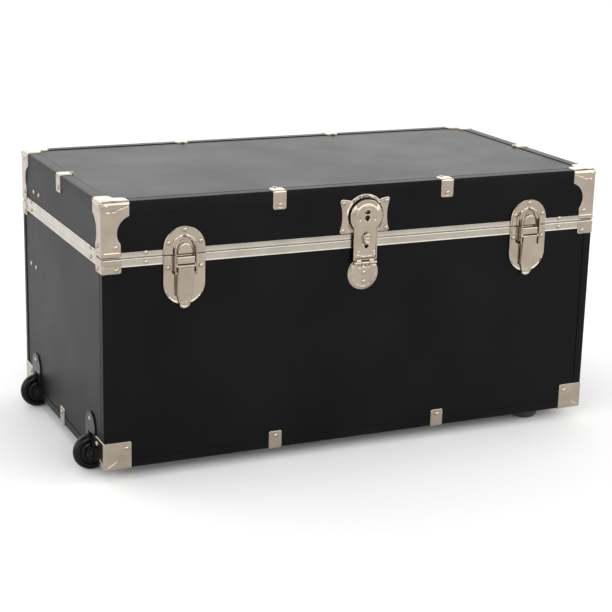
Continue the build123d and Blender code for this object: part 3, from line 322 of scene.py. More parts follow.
def distance(points, starts, ends):
    """Distance from each point to the nearest of some segments."""
    nearest = np.full(len(points), 1e9)
    for a, b in zip(starts, ends):
        along = b - a
        share = np.clip(((points - a) @ along) / max(along @ along, 1e-12), 0, 1)
        nearest = np.minimum(nearest, np.linalg.norm(points - a - share[:, None] * along, axis=1))
    return nearest


def inside(points, loop):
    """Which points lie inside a closed loop."""
    hit = np.zeros(len(points), bool)
    for a, b in zip(loop, np.roll(loop, -1, axis=0)):
        if a[1] == b[1]:
            continue
        crosses = (points[:, 1] > min(a[1], b[1])) & (points[:, 1] <= max(a[1], b[1]))
        x = a[0] + (points[:, 1] - a[1]) * (b[0] - a[0]) / (b[1] - a[1])
        hit ^= crosses & (points[:, 0] < x)
    return hit


def oriented(loop, positive):
    """The loop turned so that it runs anticlockwise if positive."""
    x, y = loop.T
    area = np.sum(x * np.roll(y, -1) - np.roll(x, -1) * y)
    return loop if (area > 0) == positive else loop[::-1].copy()


class Sheet:
    """A flat outline filled with triangles that are closer together near its free edges."""

    def __init__(self, outline, step=1.6, edge=0.8, holes=(), folded=None):
        loops = [oriented(spaced(outline, step), True)]
        loops += [oriented(spaced(hole, min(step, 0.6)), False) for hole in holes]
        starts = np.vstack(loops)
        ends = np.vstack([np.roll(loop, -1, axis=0) for loop in loops])
        middles = (starts + ends) / 2
        free = np.ones(len(starts), bool) if folded is None else ~folded(middles)
        along = (ends - starts) / np.linalg.norm(ends - starts, axis=1)[:, None]
        inwards = np.column_stack((-along[:, 1], along[:, 0]))
        extra = []
        for share in (0.12, 0.4, 0.75, 1.1):
            depth = share * edge
            ring = np.vstack((starts, middles)) + np.vstack((inwards, inwards)) * depth
            ring = ring[np.tile(free, 2)]
            near = distance(ring, starts, ends)
            extra.append(ring[near > 0.97 * depth])
        low, high = starts.min(0), starts.max(0)
        rows = np.arange(low[1], high[1], step * 0.866)
        grid = np.array([(x + (i % 2) * step / 2, y) for i, y in enumerate(rows)
                         for x in np.arange(low[0], high[0], step)])
        near = distance(grid, starts, ends)
        extra.append(grid[(near > 1.1 * edge + 0.35 * step) & inside(grid, loops[0])])
        points = np.vstack([starts] + extra)
        links, first = [], 0
        for loop in loops:
            size = len(loop)
            links += [(first + k, first + (k + 1) % size) for k in range(size)]
            first += size
        made = geometry.delaunay_2d_cdt([Vector(p) for p in points], links, [], 0, 1e-5)
        self.points = np.array([tuple(p) for p in made[0]])
        triangles = np.array([face for face in made[2] if len(face) == 3])
        centres = self.points[triangles].mean(1)
        keep = inside(centres, loops[0])
        for hole in loops[1:]:
            keep &= ~inside(centres, hole)
        self.triangles = triangles[keep]
        self.depth = distance(self.points, starts[free], ends[free])
        self.rim = self.free_rim(folded)

    def free_rim(self, folded):
        """The directed boundary edges that aren't folds."""
        used = {}
        for a, b, c in self.triangles:
            for pair in ((a, b), (b, c), (c, a)):
                used[pair] = used.get(pair, 0) + 1
        rim = [pair for pair in used if (pair[1], pair[0]) not in used]
        if folded is None:
            return rim
        middles = np.array([(self.points[a] + self.points[b]) / 2 for a, b in rim])
        return [pair for pair, fold in zip(rim, folded(middles)) if not fold]

    def heights(self, height, edge):
        """The top's height: a function of x and y, rounded off at the free edges."""
        x, y = self.points.T
        top = height(x, y, self.depth) if callable(height) else np.full(len(x), float(height))
        near = np.clip(edge - self.depth, 0, edge)
        return top - (edge - np.sqrt(np.maximum(edge**2 - near**2, 0)))


def add_sheet(mesh, sheet, top, bottom):
    """Adds a closed solid whose top and bottom have the sheet's triangles."""
    upper = [mesh.verts.new(p) for p in top]
    lower = [mesh.verts.new(p) for p in bottom]
    for a, b, c in sheet.triangles:
        mesh.faces.new((upper[a], upper[b], upper[c]))
        mesh.faces.new((lower[c], lower[b], lower[a]))
    for a, b in sheet.rim:
        mesh.faces.new((upper[b], upper[a], lower[a], lower[b]))


def placed(matrix, rows):
    """Rows of x, y, z moved by a matrix."""
    return rows @ np.array(matrix.to_3x3()).T + np.array(matrix.translation)


def stamping(mesh, matrix, outline, height, back=0.0, edge=0.8, step=1.6, holes=()):
    """Adds a pressed plate: an outline whose face follows a height function."""
    sheet = Sheet(outline, step, edge, holes)
    top = sheet.heights(height, edge)
    x, y = sheet.points.T
    low = np.full(len(x), float(back))
    add_sheet(mesh, sheet, placed(matrix, np.column_stack((x, y, top))),
              placed(matrix, np.column_stack((x, y, low))))


def folded_flange(mesh, matrix, axes, radius, outline, height, edge=0.7, step=1.6):
    """Adds one flange of a piece that is folded over an edge or a corner.

    The outline is in distances in from the folds, so it starts at -CAP beside each of them.
    Matrix columns point outwards. Axes holds the outward axes that the outline's x and y run
    against (or None where the flange has no fold on that side) and the axis that it faces.
    """
    across, down, facing = axes

    def folded(middles):
        near = np.zeros(len(middles), bool)
        for column, axis in enumerate((across, down)):
            if axis is not None:
                near |= middles[:, column] < -CAP + 1e-4
        return near

    sheet = Sheet(outline, step, edge, (), folded)
    top = sheet.heights(height, edge)
    flat = np.zeros((len(top), 3))
    spare = ({0, 1, 2} - {across, down, facing}).pop() if None in (across, down) else None
    for column, axis in enumerate((across, down)):
        if axis is None:
            flat[:, spare] = sheet.points[:, column]
        else:
            flat[:, axis] = -sheet.points[:, column]
    flat[:, facing] = CAP
    core = flat.copy()
    for axis in (across, down, facing):
        if axis is not None:
            core[:, axis] = np.minimum(flat[:, axis], CAP - radius)
    normal = flat - core
    normal /= np.linalg.norm(normal, axis=1)[:, None]
    upper = core + normal * (radius - CAP + top)[:, None]
    lower = core + normal * (radius - CAP)
    add_sheet(mesh, sheet, placed(matrix, upper), placed(matrix, lower))


def run_through(mesh, sections):
    """Adds a closed solid that runs through some sections of equal length."""
    rings = [[mesh.verts.new(point) for point in section] for section in sections]
    for first, second in zip(rings, rings[1:]):
        for k in range(len(first)):
            n = (k + 1) % len(first)
            mesh.faces.new((first[k], first[n], second[n], second[k]))
    mesh.faces.new(rings[0][::-1])
    mesh.faces.new(rings[-1])


def bar(mesh, matrix, profile, start, end):
    """Adds a straight bar: a closed profile in the matrix's x and y, run along its z."""
    run_through(mesh, [[matrix @ Vector((x, y, z)) for x, y in profile] for z in (start, end)])


def lathed(mesh, matrix, profile, segments=48):
    """Adds a turned solid: (radius, height) points from the axis out and back to it."""
    rings = []
    for radius, height in profile:
        if radius < 1e-6:
            rings.append([mesh.verts.new(matrix @ Vector((0, 0, height)))])
            continue
        angles = [2 * math.pi * k / segments for k in range(segments)]
        rings.append([mesh.verts.new(matrix @ Vector((radius * math.cos(a),
                                                      radius * math.sin(a), height)))
                      for a in angles])
    for first, second in zip(rings, rings[1:]):
        for k in range(segments):
            n = (k + 1) % segments
            if len(first) == 1:
                mesh.faces.new((first[0], second[k], second[n]))
            elif len(second) == 1:
                mesh.faces.new((first[k], second[0], first[n]))
            else:
                mesh.faces.new((first[k], second[k], second[n], first[n]))


def ball(mesh, matrix, radius, along, segments):
    """Adds a ball whose middle is some way along the matrix's z."""
    lathed(mesh, matrix, [(radius * math.sin(math.radians(a)),
                           along + radius * math.cos(math.radians(a)))
                          for a in range(0, 181, 15)], segments)


def barrel(mesh, matrix, radius, low, high, soft, inset, segments=28):
    """Adds a short cylinder along z with bevelled ends, inset on the radius and soft along."""
    lathed(mesh, matrix, [(0, low), (radius - inset, low), (radius, low + soft),
                          (radius, high - soft), (radius - inset, high), (0, high)], segments)


def ease(value, low, high):
    """0 below low, 1 above high, smooth between."""
    share = np.clip((value - low) / (high - low), 0, 1)
    return share * share * (3 - 2 * share)


def hump(value, centre, half):
    """A smooth ridge of height 1 and half-width half."""
    share = np.clip(np.abs(value - centre) / half, 0, 1)
    return (1 - share * share) ** 2


# Bindings and rails
def binding_profile(leg, direction, radius=2.2):
    """An L section over an edge, with a rolled bead along each free edge."""
    bead = 0.32
    bend = rounded([(BINDING, -leg + 4), (BINDING, BINDING), (-leg + 4, BINDING)],
                   [0, radius, 0])
    front = arc((BINDING - bead, -leg + bead), 2 * bead, -90, 60, 0.3)
    top = arc((-leg + bead, BINDING - bead), 2 * bead, 30, 180, 0.3)
    inner = [(-leg, 0.05), (0.05, 0.05), (0.05, -leg)]
    points = front + [(BINDING, -leg + 1)] + bend + [(-leg + 1, BINDING)] + top + inner
    return [(x, y * direction) for x, y in points]


def runs(half, gaps):
    """The stretches from -half to half that some gaps leave."""
    cuts = [-half] + [edge for gap in gaps for edge in gap] + [half]
    return zip(cuts[::2], cuts[1::2])


def edge_bindings(name, body, node, height, leg, reach, direction, gaps=()):
    """Four strips between the corner caps, with gaps at places along the left wall."""
    for wall, (_, _, length) in WALLS.items():
        mesh = bmesh.new()
        for low, high in runs(length / 2 - reach, gaps if wall == "left" else ()):
            bar(mesh, across_wall(wall, 0, height), binding_profile(leg, direction), -high, -low)
        finish_piece(f"{name}_{wall}", mesh, body, [node], "black_binding", sharp=40)


def ridged_profile(low, high, ridges, lip):
    """A rail's section: a sheet with lengthwise ridges and a rolled lip."""
    ups = np.arange(low, high + 1e-6, (high - low) / 60)
    outs = np.full(len(ups), SHEET)
    for centre, half, rise in ridges:
        outs = outs + rise * hump(ups, centre, half)
    outs = outs + 0.5 * hump(ups, lip, 1.1)
    near_end = np.minimum(ups - low, high - ups)
    outs = outs - 0.5 * (1 - ease(near_end, 0, 0.5))
    return [(0.0, low)] + [(float(o), float(u)) for o, u in zip(outs, ups)] + [(0.0, high)]


def rails():
    lid_profile = ridged_profile(0.2, 8.5, ((1.9, 0.9, 0.50),), 7.9)
    body_profile = ridged_profile(-12.0, -0.2, ((-1.9, 0.9, 0.50),), -11.2)
    hinge_gaps = [(x - HINGE_HALF, x + HINGE_HALF) for x in (-HINGE_X, 0, HINGE_X)]
    for wall, (_, _, length) in WALLS.items():
        for node, body, profile in (("lid_rail", "lid", lid_profile),
                                    ("body_rail", "case", body_profile)):
            mesh = bmesh.new()
            for low, high in runs(length / 2 - SEAM_CORNER_REACH + 4,
                                  hinge_gaps if wall == "back" else ()):
                bar(mesh, across_wall(wall, 0, SEAM), profile, -high, -low)
            finish_piece(f"{node}_strip_{wall}", mesh, body, [node], material=RAIL_NICKEL)
    rim_pieces()


def rim_pieces():
    """The webs over the two rims, and the tongue that the lid shuts over."""
    tongue = PANEL + 0.5
    for name, body, low, high, inner in (("lid_rim", "lid", 0.2, 1.2, PANEL),
                                         ("body_rim", "case", -1.2, -0.2, tongue + 1)):
        mesh = bmesh.new()
        for wall, (_, _, length) in WALLS.items():
            half = length / 2 - (0 if wall in ("front", "back") else inner)
            bar(mesh, across_wall(wall, 0, SEAM),
                [(-inner, low), (0, low), (0, high), (-inner, high)], -half, half)
        finish_piece(name, mesh, body, material=RAIL_NICKEL)
    mesh = bmesh.new()
    for wall in ("front", "left", "right"):
        half = WALLS[wall][2] / 2 - tongue
        profile = rounded([(-tongue - 1, -6.0), (-tongue, -6.0), (-tongue, 5.5),
                           (-tongue - 1, 5.5)], [0, 0, 0.4, 0.4])
        bar(mesh, across_wall(wall, 0, SEAM), profile, -half, half)
    finish_piece("body_tongue", mesh, "case", material=RAIL_NICKEL)


def corner_posts():
    """The vertical bindings on the case's corners."""
    low = BASE + BASE_CAP_REACH
    high = SEAM - SEAM_CORNER_DROP
    for x, y, name in corners():
        mesh = bmesh.new()
        bar(mesh, corner_frame(x, y, 1, 0), binding_profile(12.0, 1, 2.5), low, high)
        finish_piece(f"corner_binding_{name}", mesh, "case", ["body_corner_bindings"],
                     "black_binding", sharp=40)


def corners():
    """Outward signs along x and y, and a name, for each vertical edge."""
    return ((-1, -1, "front_left"), (1, -1, "front_right"), (-1, 1, "back_left"),
            (1, 1, "back_right"))


def corner_frame(x, y, z, height):
    """Columns that point outwards at a corner of the case, for x, y and z."""
    return frame_of(Vector((x, 0, 0)), Vector((0, y, 0)), Vector((0, 0, z)),
                    Vector((x * LENGTH / 2, CENTRE_Y + y * DEPTH / 2, height)))


# Corner caps, seam corner plates and edge clamps
def stamped_rim(depth, rise=0.35):
    """The slight lip that stamping leaves along a free edge."""
    return rise * hump(depth, 1.3, 1.1)


def cap_flange_outline():
    """The lid cap's flange: wide at the top, drawn in to a waist, wider at its foot."""
    reach, waist, foot, radius, level = LID_CAP_REACH, 20.0, 25.0, 24.0, 42.0
    centre = (waist + radius, level)
    first = -math.degrees(math.acos((centre[0] - reach) / radius))
    last = math.degrees(math.acos((centre[0] - foot) / radius))
    curve = arc(centre, radius, 180 - first, 180 - last, 1.2)
    return ([(-CAP, -CAP), (reach, -CAP), (reach, curve[0][1] - 1.5)] + curve
            + [(foot, LID_CAP_DROP - 2.0), (foot - 2.0, LID_CAP_DROP), (-CAP, LID_CAP_DROP)])


def cap_flange_height(x, y, depth):
    """A fold that dips below the top edge, and a crease above the foot."""
    sag = 10.0 + 1.4 * hump(x, 12, 10) - 6.0 * ease(x, 14, 36)
    fold = 0.9 * ease(y, sag + 1.0, sag - 0.6) * ease(y, 1.8, 3.4)
    crease = -0.5 * hump(y, sag + 1.2, 1.0) - 0.6 * hump(y, 1.9, 0.9)
    foot = -0.45 * hump(y, 66.5, 0.9) + 0.35 * ease(y, 66.5, 68.5)
    return CAP + stamped_rim(depth) + ((fold + crease) * ease(x, 2, 6)
                                       + foot) * ease(depth, 0.4, 1.6)


def top_lobes_outline():
    """The top flange: two round lobes with a notch between them."""
    reach, lobe = LID_CAP_REACH, 21.0
    right = arc((reach - 8, lobe - 8), 8, 0, 90)
    upper = arc((lobe - 8, reach - 8), 8, 0, 90)
    notch = arc((lobe + 4.5, lobe + 4.5), 4.5, 270, 180)
    return ([(-CAP, -CAP), (reach, -CAP)] + right + notch + upper + [(-CAP, reach)])


def top_lobes_height(x, y, depth):
    return CAP + stamped_rim(depth) + 0.5 * hump(np.hypot(x - 2, y - 2), 14, 9) * ease(
        depth, 0.5, 2.5)


def lid_caps():
    flange, lobes = cap_flange_outline(), top_lobes_outline()
    for x, y, name in corners():
        mesh = bmesh.new()
        matrix = corner_frame(x, y, 1, TOP)
        for axes, outline, height in (((0, 2, 1), flange, cap_flange_height),
                                      ((1, 2, 0), flange, cap_flange_height),
                                      ((0, 1, 2), lobes, top_lobes_height)):
            folded_flange(mesh, matrix, axes, LID_CAP_FOLD, outline, height)
        ball(mesh, matrix @ Matrix.Translation((-0.5, -0.5, -4.6)), 2.6, 0, 20)
        finish_piece(f"lid_corner_cap_{name}", mesh, "lid", ["lid_corner_caps"])


def square_outline(reach, drop, radius):
    """A flange that starts at two folds, with a rounded free corner."""
    return ([(-CAP, -CAP), (reach, -CAP)] + arc((reach - radius, drop - radius), radius, 0, 90)
            + [(-CAP, drop)])


def base_cap_height(x, y, depth):
    """A mitre ridge from the corner, then a crease level with the bottom edge."""
    run = np.hypot(19.0, 11.0)
    along = (x * 19.0 + y * 11.0) / run
    off = (x * 11.0 - y * 19.0) / run
    ridge = 0.7 * hump(off, 0, 1.3) * ease(along, 1, 4) * ease(along, 23, 20)
    crease = -0.5 * hump(y, 11.0, 0.9) * ease(x, 18, 21)
    return CAP + stamped_rim(depth) + (ridge + crease) * ease(depth, 0.4, 1.6)


def plain_height(x, y, depth):
    return CAP + stamped_rim(depth) + 0 * x


def base_caps():
    outline = square_outline(BASE_CAP_REACH, BASE_CAP_REACH, 3.6)
    for x, y, name in corners():
        mesh = bmesh.new()
        matrix = corner_frame(x, y, -1, BASE)
        for axes, height in (((0, 2, 1), base_cap_height), ((1, 2, 0), base_cap_height),
                             ((0, 1, 2), plain_height)):
            folded_flange(mesh, matrix, axes, BASE_CAP_FOLD, outline, height)
        finish_piece(f"base_corner_cap_{name}", mesh, "case", ["base_corner_caps"])


def seam_corner_height(x, y, depth):
    ridges = 0.5 * hump(y, 2.3, 1.1) + 0.5 * hump(y, 6.4, 1.3) - 0.4 * hump(y, 9.6, 0.8)
    return CAP + stamped_rim(depth, 0.25) + ridges * ease(depth, 0.4, 1.4)


def seam_corners():
    reach, drop = SEAM_CORNER_REACH, SEAM_CORNER_DROP
    outline = ([(-CAP, 0.0), (reach, 0.0)] + arc((reach - 3, drop - 3), 3, 0, 90)
               + [(-CAP, drop)])
    for x, y, name in corners():
        mesh = bmesh.new()
        matrix = corner_frame(x, y, -1, SEAM - 0.2)
        for across, facing in ((0, 1), (1, 0)):
            folded_flange(mesh, matrix, (across, None, facing), 3.0, outline,
                          seam_corner_height)
        finish_piece(f"seam_corner_{name}", mesh, "case", ["seam_corner_plates"])


def clamp_height(x, y, depth):
    """Two pressed lines along the clamp, and a dished seat for its rivet."""
    lines = 0.4 * (hump(x, -6.2, 1.1) + hump(x, 6.2, 1.1)) * ease(y, 22, 17)
    seat = -0.25 * ease(np.hypot(x, y - 18.0), 5.0, 3.8)
    return CAP + stamped_rim(depth, 0.25) + (lines + seat) * ease(depth, 0.4, 1.4)


def clamps():
    half = CLAMP_HALF

    def leg(reach):
        return ([(-half, -CAP), (half, -CAP)] + arc((half - 3, reach - 3), 3, 0, 90)
                + arc((3 - half, reach - 3), 3, 90, 180))

    places = [(wall, along) for wall in ("front", "back") for along in (-CLAMP_X, CLAMP_X)]
    places += [("left", 0.0), ("right", 0.0)]
    for node, body, height, sign in (("lid_edge_clamps", "lid", TOP, 1),
                                     ("base_edge_clamps", "case", BASE, -1)):
        for number, (wall, along) in enumerate(places, 1):
            out = WALLS[wall][0]
            origin = on_wall(wall, along, height).translation
            matrix = frame_of(UP.cross(out), out, UP * sign, origin)
            mesh = bmesh.new()
            folded_flange(mesh, matrix, (None, 2, 1), 2.6, leg(CLAMP_LEG), clamp_height, step=1.3)
            folded_flange(mesh, matrix, (None, 1, 2), 2.6, leg(CLAMP_TOP_LEG), plain_height,
                          step=1.3)
            finish_piece(f"{node[:-1]}_{number}", mesh, body, [node])


# Side latches. Places are given out from the wall and up from the seam.
LEVER_PIVOT = (9.0, -15.2)
LEVER_TIP = -66.0
LEVER_HALF = 11.8
LOOP_PIVOT = (7.4, -24.2)
LOOP_INNER = 14.0
LOOP_OUTER = 15.7
BRACKET_HALF = 13.4
EAR = 1.0
PLATE_HALF = 30.0
CATCH_ROUND = 9.0
BASE_ROUND = -39.4


def half_capsule(half, start, centre, turn):
    """From a flat end at start to a round end about centre; turn is 1 upwards, -1 down."""
    curve = arc((0, centre), half, 0, 180 * turn, 1.4)
    return [(-half, start), (half, start)] + curve


def plate_rim(x, y, centre, turn):
    """A rolled rim on a latch plate's round end and sides, but not on its flat end."""
    sides = PLATE_HALF - np.abs(x)
    round_end = PLATE_HALF - np.hypot(x, y - centre)
    away = np.where((y - centre) * turn > 0, round_end, sides)
    return 0.8 * hump(away, 1.2, 1.1)


def catch_plate_height(x, y, depth):
    round_line = np.where(y > 8.6, np.hypot(x, y - 8.6), np.abs(x))
    line = 0.8 * hump(round_line, 17.0, 0.8)
    return 3.0 + plate_rim(x, y, CATCH_ROUND, 1) + line


def base_plate_height(x, y, depth):
    seat = 0.5 * ease(np.abs(x), 14.8, 13.4) * ease(y, -62, -56)
    return 3.0 + plate_rim(x, y, BASE_ROUND, -1) - seat


def latch_lid_part(x, name):
    mesh = bmesh.new()
    plane = on_wall("front", x, SEAM)
    stamping(mesh, plane, half_capsule(PLATE_HALF, 0.6, CATCH_ROUND, 1), catch_plate_height,
             0.0, 0.7, 1.2)
    finish_piece(f"latch_catch_plate_{name}", mesh, "lid", ["latch_catch_plates"])
    mesh = bmesh.new()
    dome = rounded([(-11.4, 1.0), (11.4, 1.0), (11.4, 6.0), (7.0, 15.0), (0, 18.2),
                    (-7.0, 15.0), (-11.4, 6.0)], [1.0, 1.0, 5.0, 4.0, 8.0, 4.0, 5.0])

    def dome_height(px, py, depth):
        return 7.6 + 0.5 * hump(np.hypot(px, py - 8.0), 0, 11)

    stamping(mesh, plane, dome, dome_height, 2.6, 2.4, 0.9)
    finish_piece(f"latch_catch_{name}", mesh, "lid")


def latch_case_part(x, name):
    plane = on_wall("front", x, SEAM)
    across = across_wall("front", x, SEAM)
    mesh = bmesh.new()
    stamping(mesh, plane, half_capsule(PLATE_HALF, -0.6, BASE_ROUND, -1), base_plate_height,
             0.0, 0.7, 1.2)
    finish_piece(f"latch_base_plate_{name}", mesh, "case", ["latch_base_plates"])
    mesh = bmesh.new()
    profile = rounded([(2.6, -12.4), (9.3, -12.4), (9.3, -1.5), (2.6, -1.5)],
                      [0, 1.6, 1.8, 0])
    bar(mesh, across, profile, 0.8 - BRACKET_HALF, BRACKET_HALF - 0.8)
    ear = rounded([(2.6, -17.6), (9.0, -17.6), (11.3, -15.2), (9.2, -11.0), (2.6, -11.0)],
                  [0, 2.0, 2.0, 0.5, 0])
    for low, high in ((-BRACKET_HALF, EAR - BRACKET_HALF), (BRACKET_HALF - EAR, BRACKET_HALF)):
        bar(mesh, across, ear, low, high)
    finish_piece(f"latch_bridge_{name}", mesh, "case")


def lever_face_out(up):
    """How far the lever's face stands off the wall at a height below the seam."""
    return 11.3 + (4.9 - 11.3) * (LEVER_PIVOT[1] - up) / (LEVER_PIVOT[1] - LEVER_TIP)


def latch_lever(x, name):
    """The lever: barrel, crowned sloping face, shoulders, round knurled tip, side flanges."""
    body = f"{name}_latch_lever"
    across = across_wall("front", x, SEAM)
    mesh = bmesh.new()
    barrel(mesh, across @ Matrix.Translation((*LEVER_PIVOT, 0)), 2.3, -LEVER_HALF, LEVER_HALF,
           0.5, 0.6)
    top = LEVER_PIVOT[1]
    run = Vector((lever_face_out(LEVER_TIP) - lever_face_out(top), LEVER_TIP - top)).normalized()
    out = WALLS["front"][0]
    down = out * run.x + UP * run.y
    side = UP.cross(out)
    normal = side.cross(-down)
    plane = frame_of(side, -down, normal, across @ Vector((lever_face_out(top), top, 0)))
    length = (top - LEVER_TIP) / -run.y
    tip = arc((0, -length), 9.2, 215, 325, 0.9)
    outline = ([(LEVER_HALF, 0.6), (-LEVER_HALF, 0.6), (-11.0, -length + 11.0)]
               + arc((-9.8, -length + 9.0), 1.2, 180, 250, 0.4) + tip
               + arc((9.8, -length + 9.0), 1.2, -70, 0, 0.4) + [(11.0, -length + 11.0)])

    def face_height(px, py, depth):
        crown = 0.35 * (1 - (px / LEVER_HALF) ** 2)
        bead = 0.5 * hump(depth, 0.9, 0.8)
        far = np.hypot(px, py + length)
        ring = 0.8 * hump(far, 7.2, 1.3)
        knurl = 0.3 * np.sin(px * 2.6 + py * 2.6) * np.sin(px * 2.6 - py * 2.6)
        tip_only = ease(far, 6.4, 5.6)
        on_tip = ease(py, -length + 9, -length + 4)
        return crown * ease(far, 8, 14) + bead + ring * on_tip + knurl * tip_only

    stamping(mesh, plane, outline, face_height, -1.2, 0.7, 1.0)
    for sign in (-1, 1):
        flange = rounded([(3.6, -21.0), (lever_face_out(-21) - 0.6, -19.0),
                          (lever_face_out(-58) - 0.7, -58.0), (3.6, -55.0)],
                         [1.5, 0.5, 0.5, 1.5])
        low, high = sorted((sign * (LEVER_HALF - 0.1), sign * (LEVER_HALF - SHEET)))
        bar(mesh, across, flange, low, high)
    finish_piece(body + "_pressing", mesh, body, [f"latch_lever_{name}"])


def latch_loop(x, name):
    """The bail: a strap arch, deep along its legs and shallow over the catch."""
    body = f"{name}_latch_loop"
    plane = on_wall("front", x, SEAM)
    round_up, foot, front, soft = 8.3, -25.3, 11.2, 0.45
    leg = [(LOOP_OUTER, foot)] + [(LOOP_OUTER, round_up * k / 6) for k in range(-10, 6)]
    path = leg + arc((0, round_up), LOOP_OUTER, 0, 180, 0.9) + [(-px, py) for px, py in leg[::-1]]
    sections = []
    for px, py in path:
        scale = LOOP_INNER / LOOP_OUTER
        ix = px * scale
        iy = round_up + (py - round_up) * scale if py > round_up else py
        back = 3.8 + 4.8 * float(ease(py, 8.0, 13.5))
        sections.append([plane @ Vector((px + (ix - px) * share, py + (iy - py) * share, depth))
                         for share, depth in ((0, back + soft), (0, front - soft), (0.25, front),
                                              (0.75, front), (1, front - soft),
                                              (1, back + soft), (0.5, back))])
    mesh = bmesh.new()
    run_through(mesh, sections)
    eye = across_wall("front", x, SEAM) @ Matrix.Translation((*LOOP_PIVOT, 0))
    for sign in (-1, 1):
        low, high = sorted((sign * LOOP_INNER, sign * LOOP_OUTER))
        barrel(mesh, eye, 3.4, low, high, 0.5, 0.5)
        low, high = sorted((sign * 10.3, sign * 14.2))
        lathed(mesh, eye, [(0, low), (1.38, low), (1.38, high), (0, high)], 20)
    finish_piece(body + "_bail", mesh, body, [f"latch_loop_{name}"])


def latches():
    for x, name in ((-LATCH_X, "left"), (LATCH_X, "right")):
        latch_lid_part(x, name)
        latch_case_part(x, name)
        latch_lever(x, name)
        latch_loop(x, name)


# Centre lock
BOSS = 33.0
HASP_PIVOT = (7.6, -33.0)
DISC_UP = -49.8
DISC_RADIUS = 23.8


def strike_plate():
    """The lid plate: four ears, an arched top, and a raised ring round the hasp's head."""
    plane = on_wall("front", 0, SEAM)
    ear, low, high, hollow = 38.5, 9.2, 58.5, 66.0
    side = arc((ear - 3.5 + hollow, BOSS), hollow, 180 + 16.5, 180 - 16.5, 2.0)
    right = ([(26, low)] + arc((ear - 4, low + 4), 4, -90, 0) + side
             + arc((ear - 4, high - 4), 4, 0, 90) + [(26, high - 1.5)])
    left = [(-x, y) for x, y in right[::-1]]
    outline = left[-1:] + right + arc((0, BOSS), 31.4, 46, 134, 1.5) + left[:-1]

    def height(x, y, depth):
        far = np.hypot(x, y - BOSS)
        ring = 2.0 * hump(far, 27.4, 1.9)
        edge = 0.3 * hump(depth, 1.4, 1.1) * ease(far, 29.5, 31)
        well = -0.5 * ease(far, 25.6, 24.8)
        return 1.7 + ring + edge + well + 2.4 * ease(far, 8.4, 7.4)

    mesh = bmesh.new()
    stamping(mesh, plane, outline, height, 0.0, 0.6, 1.25)
    finish_piece("lock_strike", mesh, "lid", ["lock_strike_plate"])


def heart(width, height, centre, lift):
    """A heart's outline: two lobes over a point."""
    half = width / 2
    right = arc((centre[0] + half / 2, centre[1] + lift), half / 2, -35, 180, 0.3)
    left = arc((centre[0] - half / 2, centre[1] + lift), half / 2, 0, 215, 0.3)
    return [(centre[0], centre[1] - height + lift)] + right + left


def ellipse(half_width, half_height, centre):
    """An ellipse's outline."""
    turns = [2 * math.pi * k / 48 for k in range(48)]
    return [(centre[0] + half_width * math.cos(a), centre[1] + half_height * math.sin(a))
            for a in turns]


def hasp():
    """The hasp: round head with a wide bevel, shank with a raised face, two knuckles."""
    plane = on_wall("front", 0, SEAM)
    across = across_wall("front", 0, SEAM)
    head, half, low = 25.0, 18.5, -29.6
    meet = math.degrees(math.asin(half / head))
    outline = ([(-half, low), (half, low)]
               + arc((0, BOSS), head, -90 + meet, 270 - meet, 1.2))
    lens = ellipse(4.2, 2.6, (0, BOSS + 7.0))
    drop = [(0, BOSS - 6.4)] + arc((0, BOSS - 1.2), 3.5, -45, 225, 0.5)
    small = heart(6.4, 4.4, (0, -8.8), 0.4)
    slot = rounded([(-2.4, -5.9), (2.4, -5.9), (2.4, 4.9), (-2.4, 4.9)], [1.0] * 4)

    def height(x, y, depth):
        far = np.hypot(x, y - BOSS)
        cone = 7.0 + 3.5 * np.clip((25.0 - far) / 8.2, 0, 1)
        flat = 10.5 - 0.35 * hump(far, 16.4, 0.9)
        round_part = np.where(far < 16.6, flat, cone)
        shank_face = 7.0 + 2.6 * ease(np.abs(x), 17.4, 13.4)
        down = ease(y, low + 1.5, low + 5.0)
        shank = 7.0 + (shank_face - 7.0) * down
        below = ease(y, BOSS - 11, BOSS - 19)
        face = np.where(far < 24.9, round_part * (1 - below) + shank * below, shank)
        wide = np.where(np.abs(x) < 15.5, np.maximum(face, shank), face)
        square = np.maximum(np.abs(np.abs(x) - 11.5), np.abs(y - BOSS + 3.3))
        marks = 0.6 * ease(square, 2.9, 2.2) - 0.5 * ease(square, 1.5, 1.0)
        seat = -0.5 * hump(np.hypot(x * 1.25, y - 2.0), 8.6, 1.4)
        point = 0.4 * ease(np.hypot(x * 1.4, y - 14.0), 2.6, 1.6)
        scroll = 0.45 * hump(np.hypot(np.abs(x) - 12.5, y + 19.0), 2.6, 1.1)
        line = 0.45 * hump(y + 24.0 - 0.02 * x * x, 0, 0.9) * ease(np.abs(x), 12, 9)
        rim = 0.3 * hump(depth, 1.1, 1.0)
        return wide + rim + marks + seat + point + scroll + line

    mesh = bmesh.new()
    stamping(mesh, plane, outline, height, 5.0, 0.8, 1.0, (lens, drop, small, slot))
    pivot = across @ Matrix.Translation((*HASP_PIVOT, 0))
    for centre in (-10.0, 10.0):
        barrel(mesh, pivot, 2.6, centre - 3.4, centre + 3.4, 0.4, 0.4)
        ball(mesh, pivot, 3.3, centre * 1.52, 24)
        arm = [(5.0, -33.0), (9.6, -33.0), (7.6, low + 0.6), (5.0, low + 0.6)]
        bar(mesh, across, arm, centre - 3.4, centre + 3.4)
    finish_piece("hasp_pressing", mesh, "hasp", ["lock_hasp"])


